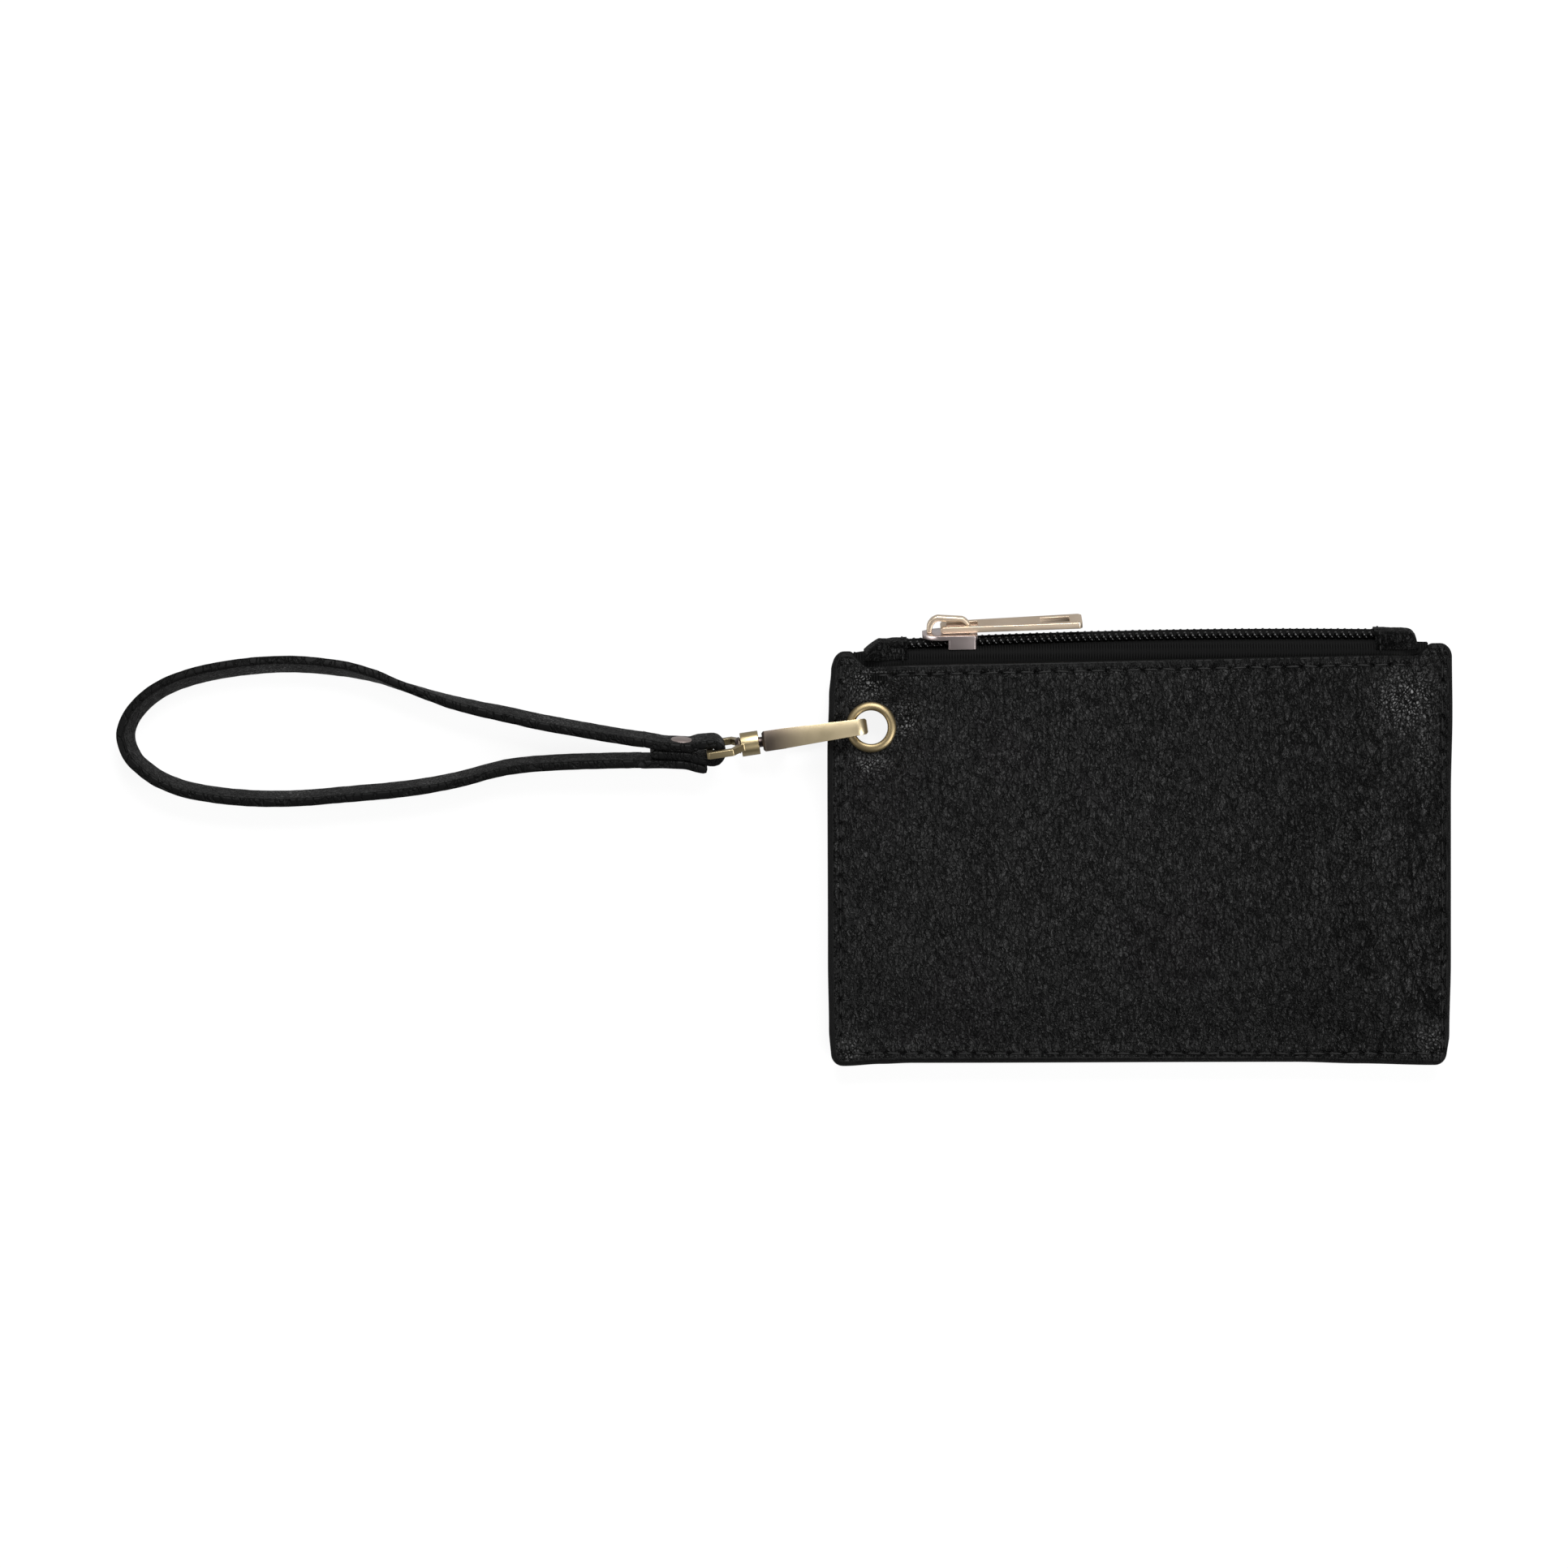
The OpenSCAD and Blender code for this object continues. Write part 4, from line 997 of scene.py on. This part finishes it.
    def pierce(self, piece: bpy.types.Object) -> None:
        """Cuts the eyelet hole out of an open sheet."""
        centre = MM * Vector((*LAYOUT.eyelet, 0.0))
        pick(piece)
        bpy.ops.object.mode_set(mode="EDIT")
        bpy.ops.mesh.select_mode(type="FACE")
        bpy.ops.mesh.select_all(action="DESELECT")
        bpy.ops.object.mode_set(mode="OBJECT")
        for face in piece.data.polygons:
            face.select = (face.center.xy - centre.xy).length < (self.hole + 0.1) * MM
        bpy.ops.object.mode_set(mode="EDIT")
        bpy.ops.mesh.delete(type="FACE")
        bpy.ops.object.mode_set(mode="OBJECT")
        rim = {v for face in piece.data.polygons for v in face.vertices}
        for index in rim:
            point = piece.data.vertices[index]
            away = point.co.xy - centre.xy
            if away.length < (self.hole + 0.45) * MM:
                point.co.xy = centre.xy + away.normalized() * self.hole * MM

    def layer(self, name: str, depth: float, thick: float, inset: float) -> bpy.types.Object:
        """Models a board or lining that follows the leather from inside.

        Args:
            name: Name of the piece.
            depth: Distance below the leather's outer surface.
            thick: Thickness of the layer.
            inset: Distance from the panel's edge.

        Returns:
            The piece.
        """
        width, tall = 2.0 * LAYOUT.half_width, LAYOUT.ear_top - LAYOUT.bottom
        columns, rows = self.layer_grid

        def place(column: int, row: int) -> tuple[Vector, Marks]:
            """Places one point of the layer."""
            across = inset / width + (1.0 - 2.0 * inset / width) * column / columns
            up = inset / tall + (1.0 - 2.0 * inset / tall) * row / rows
            x, y = self.plan(across, up)
            return MM * Vector((x, y, self.lay(self.body(x, y) - depth))), ()

        piece = shaped_grid(name, columns, rows, place)
        self.pierce(piece)
        modify(piece, "SOLIDIFY", thickness=thick * MM, offset=-self.side.value)
        return finish_soft(piece)

    def stitches(self, name: str, rows: Sequence[StitchRow]) -> bpy.types.Object:
        """Models one stitch and copies it along the rows.

        Args:
            name: Name of the piece.
            rows: The rows to fill.

        Returns:
            The joined stitches.
        """
        model = bead()
        model.data.transform(Matrix.Rotation(math.radians(90.0), 4, "Y"))
        for point in model.data.vertices:
            point.co.x = math.copysign(abs(point.co.x) ** 0.6, point.co.x)
        model.data.transform(Matrix.Diagonal((*(MM * half for half in self.stitch), 1.0)))
        shade(model, 80.0)
        places = []
        for row in rows:
            for index, (x, y) in enumerate(row.places()):
                height = self.surface(x, y)[0] - 0.02
                turn = math.radians(row.degrees + 4.0 * math.sin(index * 2.3))
                here = Matrix.Translation(MM * Vector((x, y, self.lay(height))))
                places.append(here @ Matrix.Rotation(turn, 4, "Z"))
        return copies(name, model, places)

    def build(self) -> None:
        """Builds the whole face and sets it on the pouch."""
        word = self.side.word
        enlist(self.leather(), "pouch", "panel_skin", PANEL, f"{word}_panel")
        enlist(self.layer(f"{word}_board", 0.8, 0.4, 1.6), "pouch", "stiffener", BOARD.material(),
               f"{word}_stiffener")
        enlist(self.layer(f"{word}_cloth", 1.2, 0.2, 1.3), "pouch", "lining", LINING.material(),
               f"{word}_lining")
        for group, rows in self.rows().items():
            enlist(self.stitches(f"{word}_{group}_stitches", rows), "pouch", "thread", SEWING,
                   f"{group}_thread_{word}")


# ---- Zip ----------------------------------------------------------------------------------------


@dataclass
class ZipFastener:
    """The closed coil, its ribbed tapes, the leather end tabs, the slider and its pull."""

    half: float = 49.6
    pitch: float = 1.32
    wire: float = 0.3
    row: float = 1.22
    loop: float = 0.66
    twist: float = 42.0
    bow: float = 0.5
    tape: float = 0.4
    tape_half: float = 55.3
    tab: tuple[float, float] = (45.0, 53.3)
    tab_skin: float = 0.5
    tab_section: tuple[tuple[float, float], ...] = (
        (1.05, 0.0), (1.02, 1.0), (0.92, 1.8), (0.6, 2.4), (0.0, 2.95), (-0.7, 3.5), (-1.3, 4.0),
        (-1.75, 4.3), (-1.9, 4.38))
    tab_stitch: tuple[float, float, float] = (0.22, 0.22, 0.62)
    tape_stand: float = 3.17
    tape_columns: int = 132

    def bend(self, x: float) -> float:
        """Returns how far the soft zip bows upwards between its sewn ends, in millimetres."""
        return self.bow * (1.0 - (x / 38.0) ** 2)

    def at(self, x: float, v: float, u: float) -> Vector:
        """Returns a place of the bowed zip in the frame, in metres."""
        return LAYOUT.on_zip(x, v, u) + Vector((0.0, MM * self.bend(x), 0.0))

    def frame(self, x: float, v: float, u: float) -> Matrix:
        """Returns the zip's own axes at a place of the bowed zip, as a transform in metres."""
        origin = LAYOUT.on_zip(0.0, 0.0, 0.0)
        axes = [(LAYOUT.on_zip(*step) - origin) / MM for step in ((1, 0, 0), (0, 1, 0), (0, 0, 1))]
        return Matrix.Translation(self.at(x, v, u)) @ Matrix(axes).transposed().to_4x4()

    def cord(self, side: Side) -> bpy.types.Object:
        """Models the soft cord that runs through the turns of one row."""

        def place(column: int, row: int) -> tuple[Vector, Marks]:
            """Places one point of the cord."""
            x, angle = self.half * (column / 30.0 - 1.0), math.tau * row / 10
            return self.at(x, 0.2 + 0.52 * math.cos(angle), side.value * (0.95 + 0.6 * math.sin(angle))), ()

        piece = shaped_grid(f"{side.word}_cord", 60, 10, place)
        return finish_soft(piece, MERGE, close=True)

    def coil(self, side: Side) -> bpy.types.Object:
        """Models one turn of filament and copies it along one row."""
        deselect()
        bpy.ops.mesh.primitive_torus_add(major_segments=12, minor_segments=6, major_radius=self.loop * MM,
                                         minor_radius=self.wire * MM)
        model = bpy.context.object
        model.data.transform(Matrix.Rotation(math.radians(90.0), 4, "Y"))
        model.data.transform(Matrix.Rotation(math.radians(self.twist), 4, "Z"))
        shade(model, 80.0)
        count = int((2.0 * self.half - 1.0) / self.pitch)
        sign = side.value
        places = []
        for index in range(count):
            x = (index + 0.5 - count / 2) * self.pitch + sign * self.pitch / 4
            lean = Matrix.Rotation(math.radians(2.0 * math.sin(index * 1.7 + sign)), 4, "Z")
            places.append(self.frame(x, 0.02 * math.sin(index * 2.1), sign * self.row) @ lean)
        return copies(f"{side.word}_coil", model, places)

    def band(self, side: Side) -> bpy.types.Object:
        """Models one ribbed tape, from under the coil down into the mouth."""
        s, lean = side.value, math.radians(LAYOUT.zip_lean)
        out = LAYOUT.mid + s * self.tape_stand

        def across(v: float, u: float) -> tuple[float, float]:
            """Returns a place of the zip's section beside the mouth edge."""
            return (LAYOUT.zip_rise + v * math.cos(lean) - u * math.sin(lean),
                    LAYOUT.mid + v * math.sin(lean) + u * math.cos(lean))

        turn = across(-1.15, s * 3.05)
        path = [across(v, s * u) for v, u in ((-0.85, 0.62), (-0.88, 1.5), (-0.9, 2.4), (-0.98, 2.85))]
        path += [turn, (turn[0] - 0.35, 0.5 * turn[1] + 0.5 * out)]
        path += [(y, out) for y in (turn[0] - 0.9, 1.2, 0.5, -0.6, -1.8, -3.0)]

        def place(column: int, row: int) -> tuple[Vector, Marks]:
            """Places one point of the tape."""
            x = self.tape_half * (2.0 * column / self.tape_columns - 1.0)
            y, z = path[row]
            z = LAYOUT.mid + (z - LAYOUT.mid) * (1.0 - 0.75 * smooth(49.0, self.tape_half, abs(x)))
            if y > 2.0:
                y += (2.7 - math.copysign(0.2, x) - y) * smooth(51.0, 54.0, abs(x))
            ripple = 0.07 * math.sin(x * 0.9 + 0.6 * math.sin(x * 0.37)) * hump(row - 6.5, 2.2)
            lift = self.bend(x) * (1.0 - smooth(4.0, 8.0, row))
            return LAYOUT.along_mouth(x, y + lift, z + s * ripple), ()

        piece = shaped_grid(f"{side.word}_ribbed_tape", self.tape_columns, len(path) - 1, place)
        modify(piece, "SOLIDIFY", thickness=self.tape * MM, offset=0.0)
        modify(piece, "BEVEL", width=0.06 * MM, segments=2, limit_method="ANGLE")
        return finish_soft(piece)

    def tab_skin_at(self, sign: int, along: float, around: float) -> Vector:
        """Works out a place on the outside of an end tab.

        Args:
            sign: -1 for the left tab, 1 for the right tab.
            along: Distance from the tab's inner end.
            around: -1 at its back foot, 0 on top, 1 at its front foot.

        Returns:
            The place in the frame, in metres.
        """
        steps = len(self.tab_section) - 1
        reach = min(0.9999, abs(around)) * steps
        (v0, u0), (v1, u1) = self.tab_section[int(reach)], self.tab_section[int(reach) + 1]
        v, u = v0 + (v1 - v0) * (reach % 1.0), u0 + (u1 - u0) * (reach % 1.0)
        length = self.tab[1] - self.tab[0]
        end = max(0.0, along - length + 2.9) / 2.9
        foot = self.tab_section[-1][0]
        squash = math.sqrt(max(0.0, 1.0 - end ** 2.6)) if sign > 0 else 1.0 - 0.92 * end ** 1.35
        v = foot + (v - foot) * (0.24 + 0.76 * squash)
        u *= 1.0 - 0.16 * end ** 2
        x = sign * (self.tab[0] + along)
        wrinkle = 0.1 * noise.noise(Vector((x * 0.5, v * 0.9, u * 0.6)))
        wrinkle += 0.05 * noise.noise(Vector((x * 1.4, v * 2.0, u * 1.6)))
        return self.at(x, v + wrinkle, math.copysign(u + wrinkle, around) if u > 0.05 else 0.0)

    def end_tab(self, sign: int) -> bpy.types.Object:
        """Models the leather tab that is folded over one zip end and pinched shut at its outer end."""
        columns, rows, pinch = 26, 36, 4
        length = self.tab[1] - self.tab[0]

        def place(column: int, row: int) -> tuple[Vector, Marks]:
            """Places one point of the tab."""
            around = 2.0 * row / rows - 1.0
            outer = self.tab_skin_at(sign, length * min(1.0, column / columns), around)
            closed = max(0, column - columns) / pinch
            middle = self.at(sign * self.tab[1], -1.35, 0.0)
            return outer.lerp(Vector((outer.x, middle.y, middle.z)), closed), ()

        piece = shaped_grid("left_tab" if sign < 0 else "right_tab", columns + pinch, rows, place)
        modify(piece, "SOLIDIFY", thickness=self.tab_skin * MM, offset=float(sign))
        return finish_soft(piece, MERGE)

    def tab_stitches(self, sign: int) -> bpy.types.Object:
        """Models the short row of stitches that holds one end tab."""
        model = bead()
        model.data.transform(Matrix.Diagonal((*(MM * half for half in self.tab_stitch), 1.0)))
        shade(model, 80.0)
        places = []
        for around in (-0.86, -0.6, -0.32, 0.0, 0.32, 0.6, 0.86):
            here = self.tab_skin_at(sign, 0.9, around)
            ahead = self.tab_skin_at(sign, 0.9, around + 0.05) - here
            places.append(Matrix.Translation(here) @ ahead.to_track_quat("Z", "Y").to_matrix().to_4x4())
        return copies(f"tab_stitches_{'right' if sign > 0 else 'left'}", model, places)

    def build(self) -> None:
        """Builds the zip and sets the slider and the pull on their bodies."""
        nylon, cloth, tab = COIL_NYLON.material(), TAPE.material(), TAB_LEATHER.material()
        for side in Side:
            enlist(self.coil(side), "pouch", "zip_coil", nylon, f"zip_coil_{side.word}")
            enlist(self.cord(side), "pouch", "zip_tape", cloth)
            enlist(self.band(side), "pouch", "zip_tape", cloth, f"zip_tape_{side.word}")
        for sign, word in ((-1, "left"), (1, "right")):
            enlist(self.end_tab(sign), "pouch", "tab_leather", tab, f"zip_tab_{word}")
            enlist(self.tab_stitches(sign), "pouch", "thread", SEWING)
        enlist(refined("slider_body", 0.2), "slider", "slider_metal", SLIDER_METAL.material(), "slider_body")
        pull = PULL_METAL.material()
        enlist(refined("slider_bail", 0.28), "slider", "slider_metal", pull, "slider_bail")
        enlist(refined("pull_tab", 0.22), "pull", "pull_metal", pull, "pull_tab")


# ---- Eyelet and snap hook -----------------------------------------------------------------------


@dataclass
class Eyelet:
    """The rolled eyelet through the pouch's corner and the washer behind it."""

    bore: float = 3.25
    barrel: float = 3.6
    flange: float = 4.9
    rise: float = 0.72

    def build(self) -> None:
        """Turns both parts and sets them on the pouch."""
        top = LAYOUT.mid + LAYOUT.flange
        centre = MM * Vector((*LAYOUT.eyelet, top))
        roll = [(self.flange - 0.02, 0.12), (self.flange - 0.14, 0.36), (self.flange - 0.4, 0.56),
                (self.flange - 0.75, self.rise - 0.02), (self.bore + 0.5, self.rise),
                (self.bore + 0.22, 0.62), (self.bore + 0.05, 0.4), (self.bore, 0.1)]
        profile = [(self.barrel, -0.05), (self.flange - 0.1, -0.05), *roll, (self.bore, -2.4),
                   (self.bore + 0.05, -3.3), (self.bore + 0.2, -3.42), (self.barrel, -3.3)]
        metal = EYELET_BRASS.material()
        enlist(lathe("rolled_eyelet", profile, centre, Vector((0, 0, 1))), "pouch", "eyelet_brass", metal,
               "eyelet_barrel")
        back = MM * Vector((*LAYOUT.eyelet, LAYOUT.mid - LAYOUT.flange))
        ring = [(self.barrel, -0.03), (self.barrel, 0.28), (self.barrel + 0.2, 0.42),
                (self.flange - 0.5, 0.44), (self.flange - 0.2, 0.3), (self.flange - 0.1, 0.1),
                (self.flange - 0.12, -0.03)]
        enlist(lathe("eyelet_ring", ring, back, Vector((0, 0, -1))), "pouch", "eyelet_brass", metal,
               "eyelet_washer")


@dataclass
class SnapHook:
    """The swivel snap hook: hook, post, gate with pin and spring, and the collar with its D ring."""

    edges: dict[str, float] = field(default_factory=lambda: {
        "hook_frame": 0.3, "swivel_post": 0.22, "gate_pin": 0.08})

    def build(self) -> None:
        """Eases each part's edges and sets it on its body."""
        metal = HOOK_METAL.material()
        for node, width in self.edges.items():
            enlist(refined(node, width), "hook", "hook_metal", metal, node)
        enlist(refined("gate_spring", 0.0, 1, 80.0, 80.0), "hook", "spring_steel", SPRING_STEEL.material(),
               "gate_spring")
        enlist(refined("gate_lever", 0.16), "gate", "gate_metal", GATE_METAL.material(), "gate_lever")
        enlist(refined("swivel_dring", 0.42, 4), "swivel", "hook_metal", RING_METAL.material(),
               "swivel_dring")


# ---- Strap --------------------------------------------------------------------------------------


@dataclass
class WristStrap:
    """The flat wrist strap, folded round the D ring and riveted through three layers."""

    width: float = 6.5
    thick: float = 1.7
    angle: float = -4.0
    rivet: tuple[float, float] = (-5.5, -0.9)
    layer: float = 1.72
    stack_end: float = -14.5
    upper: float = 1.4
    lower: float = -2.9
    fold: tuple[float, float, float] = (0.4, 0.05, 1.78)
    step: float = 0.7
    loop: tuple[tuple[float, float, float, float, float], ...] = (
        (-30.3, 4.9, -0.9, 0, -0.29), (-39.7, 6.9, -1.2, 0, -0.28), (-49.1, 9, -1.3, 0, -0.2),
        (-58.5, 12, -1.3, 0, 0), (-64.9, 14.3, -1.3, 0, 0.15), (-71.4, 15.7, -1.3, 0, 0.25),
        (-80.3, 16.5, -1.3, -0.02, 0.28), (-89.7, 16, -1.3, -0.05, 0.28), (-99.1, 14.3, -1.3, -0.12, 0.26),
        (-106, 11.6, -1.3, -0.2, 0.2), (-110.7, 7.6, -1.3, -0.27, 0.1), (-112.7, 3.1, -1.3, -0.28, 0),
        (-111.5, -1.1, -1.3, -0.26, -0.1), (-108.9, -3.8, -1.3, -0.21, -0.18),
        (-105.3, -6.1, -1.3, -0.14, -0.24), (-99.1, -8.1, -1.3, -0.06, -0.28), (-89.7, -9.3, -1.3, 0, -0.29),
        (-80.3, -9.4, -1.3, 0, -0.29), (-71, -8.7, -1.3, 0, -0.29), (-58.5, -7.5, -1.3, 0, -0.29),
        (-49.1, -5.9, -1.3, 0, -0.29), (-39.7, -3.5, -1.2, 0, -0.29), (-30.3, -2.5, -0.8, 0, -0.29))

    def axes(self) -> tuple[Vector, Vector, Vector, Vector]:
        """Returns the D ring bar's middle and the strap's own axes there: along, out of its face, across."""
        hook, lean = math.radians(LAYOUT.hook_angle), math.radians(LAYOUT.dring_lean)
        bar = Vector((LAYOUT.hook_nose[0] + LAYOUT.bar_reach * math.cos(hook),
                      LAYOUT.hook_nose[1] + LAYOUT.bar_reach * math.sin(hook), LAYOUT.mid))
        across = Vector((math.sin(hook) * math.sin(lean), -math.cos(hook) * math.sin(lean), math.cos(lean)))
        turn = math.radians(self.angle)
        face = across.cross(Vector((math.cos(turn), math.sin(turn), 0.0))).normalized()
        return bar, face.cross(across), face, across

    def route(self) -> list[tuple[Vector, Vector]]:
        """Returns the strap's middle line as places and the way its upper edge points, in millimetres."""
        bar, along, face, across = self.axes()
        rp, rq = self.rivet
        fp, fq, fr = self.fold
        ends = [(-11.4, rq), (rp - 1.5, rq), (rp + 1.2, rq), (-2.6, rq - 0.45)]
        ends += [(fp + fr * math.cos(math.radians(a)), fq + fr * math.sin(math.radians(a)))
                 for a in range(-105, 106, 15)]
        ends += [(-2.2, 1.45), (-3.4, rq + self.layer + 0.12), (rp + 1.2, rq + self.layer),
                 (rp - 1.5, rq + self.layer), (-8.6, rq + self.layer), (-11.5, 1.15), (-13.0, self.upper),
                 (self.stack_end, self.upper)]
        tail = [(self.stack_end, self.lower), (-13.0, self.lower), (-8.6, rq - self.layer),
                (rp - 1.5, rq - self.layer), (rp + 1.2, rq - self.layer), (-2.4, -3.05), (-0.4, -3.45)]
        line = [(bar + p * along + q * face, across) for p, q in ends]
        line += [(bar + Vector(row[:3]), Vector((row[3], row[4], 1.0)).normalized()) for row in self.loop]
        return line + [(bar + p * along + q * face, across) for p, q in tail]

    def sections(self) -> list[tuple[Vector, Vector, Vector]]:
        """Samples the route evenly.

        Returns:
            The middle, the upward direction and the outward direction of each section.
        """
        line = self.route()
        fine = []
        for index in range(len(line) - 1):
            a, b, c, d = (line[max(0, min(len(line) - 1, index + k))] for k in (-1, 0, 1, 2))
            parts = max(2, round((c[0] - b[0]).length / self.step))
            for part in range(parts):
                t = part / parts
                place = 0.5 * (2 * b[0] + (c[0] - a[0]) * t + (2 * a[0] - 5 * b[0] + 4 * c[0] - d[0]) * t * t
                               + (3 * b[0] - a[0] - 3 * c[0] + d[0]) * t ** 3)
                fine.append((place, b[1].lerp(c[1], smooth(0.0, 1.0, t) * 0.3 + t * 0.7).normalized()))
        fine.append(line[-1])
        out = []
        for index, (place, up) in enumerate(fine):
            ahead = fine[min(index + 1, len(fine) - 1)][0] - fine[max(index - 1, 0)][0]
            out.append((place, up, up.cross(ahead).normalized()))
        return out

    def section(self) -> list[tuple[float, float, float]]:
        """Returns the strap's section: place across its thickness and width, and 1 on the painted edges."""
        half_t, half_w, round_r = self.thick / 2, self.width / 2, 0.5
        points = []
        for sx, sy, start in ((1, 1, 0), (-1, 1, 90), (-1, -1, 180), (1, -1, 270)):
            for a in range(start, start + 91, 30):
                points.append((sx * (half_t - round_r) + round_r * math.cos(math.radians(a)),
                               sy * (half_w - round_r) + round_r * math.sin(math.radians(a)),
                               1.0 if abs(math.sin(math.radians(a))) > 0.4 else 0.0))
            if start in (90, 270):
                for k in (step / 6 for step in range(1, 6)):
                    y = sy * (half_w - round_r) * (1.0 - 2.0 * k)
                    points.append((sx * (half_t + 0.05 * math.sin(math.pi * k)), y, 0.0))
        return points

    def leather(self) -> bpy.types.Object:
        """Models the whole strap as one closed band."""
        sections, ring = self.sections(), self.section()

        def place(column: int, row: int) -> tuple[Vector, Marks]:
            """Places one point of the strap's skin."""
            middle, up, out = sections[column]
            a, b, rim = ring[row % len(ring)]
            a *= (0.5, 0.9, 1.0)[min(2, column, len(sections) - 1 - column)]
            crumple = noise.noise(Vector((column * 0.16, b * 0.5, a * 2.0)))
            a += (1.0 - rim) * 0.07 * crumple
            a += 0.05 * noise.noise(Vector((column * 0.5, b * 0.9, 3.0 + a)))
            # Random cracked patches, which the material also lightens as a painted glint.
            crackle_glint = smooth(0.1, 0.55, noise.noise(Vector((column * 0.05, 7.0, a)))) * (1.0 - rim)
            return MM * (middle + up * b + out * a), (0.5 * rim, 0.5 * crackle_glint)

        piece = shaped_grid("riveted_strap", len(sections) - 1, len(ring), place, ("rim", "crackle_glint"))
        return finish_soft(piece, MERGE, close=True)

    def build(self) -> None:
        """Builds the strap and its rivet and sets them on the strap's body."""
        enlist(self.leather(), "strap", "strap_leather", STRAP_LEATHER.material(), "wrist_strap")
        metal = RIVET_METAL.material()
        bar, along, face, _ = self.axes()
        dome = [(0.02, 0.4), (0.9, 0.37), (1.6, 0.26), (2.05, 0.1), (2.25, -0.12)]
        post = [(0.9, -0.12), (0.9, -4.7), (0.02, -4.7)]
        for name, node, side, inner in (("rivet_front", "rivet_cap", 1, [(0.02, -0.12)]),
                                        ("rivet_back", "rivet_post", -1, post)):
            out = self.rivet[1] + side * (self.layer + self.thick / 2)
            centre = bar + self.rivet[0] * along + out * face
            enlist(lathe(name, dome + inner, MM * centre, side * face, 40), "strap", "rivet_metal", metal,
                   node)


# ---- Studio -------------------------------------------------------------------------------------


@dataclass(frozen=True)
class Softbox:
    """A square soft lamp: where it hangs and its side in metres, and its power in watts."""

    name: str
    place: tuple[float, float, float]
    size: float
    power: float


@dataclass
class Studio:
    """Floor, soft light and the camera that looks straight down, in metres."""

    middle: tuple[float, float] = (-0.06875, 0.01406)
    view_width: float = 0.3019
    view_level: float = 0.006
    lens: float = 140.0
    sensor: float = 36.0
    floor_side: float = 6.0
    floor_level: float = -0.0002
    floor_grey: float = 0.86
    floor_glow: float = 0.4
    floor_share: float = 0.88
    sky: float = 0.14
    lamps: tuple[Softbox, ...] = (
        Softbox("top_softbox", (0.02, 0.62, 0.6), 0.55, 13.0),
        Softbox("left_softbox", (-0.75, -0.1, 0.55), 0.5, 3.0),
        Softbox("right_fill", (0.55, -0.3, 0.6), 0.5, 8.0))

    def floor(self) -> None:
        """Lays a white floor that keeps the shadow and shows white to the camera."""
        deselect()
        bpy.ops.mesh.primitive_plane_add(size=self.floor_side, location=(0.0, 0.0, self.floor_level))
        floor = bpy.context.object
        floor.name = "studio_floor"
        made, graph = new_material("studio_white")
        paper = graph.add("BsdfDiffuse", {"Color": grey(self.floor_grey)})
        path = graph.add("LightPath")
        strength = graph.span(path.outputs["Is Camera Ray"], 0.0, 1.0, self.floor_glow, 1.0)
        glow = graph.add("Emission", {"Color": WHITE, "Strength": strength})
        seen = graph.math("MAXIMUM", path.outputs["Is Camera Ray"], path.outputs["Is Glossy Ray"])
        mixed = graph.add("MixShader", {0: graph.math("MULTIPLY", seen, self.floor_share),
                                        1: paper.outputs[0], 2: glow.outputs[0]})
        graph.add("OutputMaterial", {"Surface": mixed.outputs[0]})
        floor.data.materials.append(made)

    def hang(self, softbox: Softbox) -> None:
        """Hangs one lamp so that it faces the wallet."""
        deselect()
        bpy.ops.object.light_add(type="AREA", location=softbox.place)
        lamp = bpy.context.object
        lamp.name = softbox.name
        lamp.data.size, lamp.data.energy = softbox.size, softbox.power
        aim = Vector((*self.middle, 0.0)) - Vector(softbox.place)
        lamp.rotation_euler = aim.to_track_quat("-Z", "Y").to_euler()

    def world(self) -> None:
        """Sets a dim even sky that the camera sees as white."""
        world = bpy.data.worlds.new("studio_sky")
        bpy.context.scene.world = world
        world.use_nodes = True
        graph = Graph(world.node_tree)
        path = graph.add("LightPath")
        strength = graph.span(path.outputs["Is Camera Ray"], 0.0, 1.0, self.sky, 1.0)
        sky = graph.add("Background", {"Color": WHITE, "Strength": strength})
        graph.add("OutputWorld", {"Surface": sky.outputs[0]})

    def camera(self) -> None:
        """Sets the camera straight above, with the frame's width across its view."""
        height = self.view_width * self.lens / self.sensor + self.view_level
        bpy.ops.object.camera_add(location=(*self.middle, height), rotation=(0.0, 0.0, 0.0))
        camera = bpy.context.object
        camera.data.lens, camera.data.sensor_width = self.lens, self.sensor
        camera.data.clip_start, camera.data.clip_end = 0.01, 20.0
        bpy.context.scene.camera = camera
        bpy.context.scene.view_settings.view_transform = "Standard"

    def build(self) -> None:
        """Sets up the whole studio."""
        self.floor()
        self.world()
        for softbox in self.lamps:
            self.hang(softbox)
        self.camera()


PANEL = PANEL_LEATHER.material()
SEWING = THREAD.material()


def main() -> None:
    """Builds the wallet in order, round its frame."""
    logging.basicConfig(level=logging.INFO, format="%(name)s: %(message)s")
    Studio().build()
    for side in Side:
        PouchFace(side).build()
    ZipFastener().build()
    Eyelet().build()
    SnapHook().build()
    WristStrap().build()


if __name__ == "__main__":
    main()
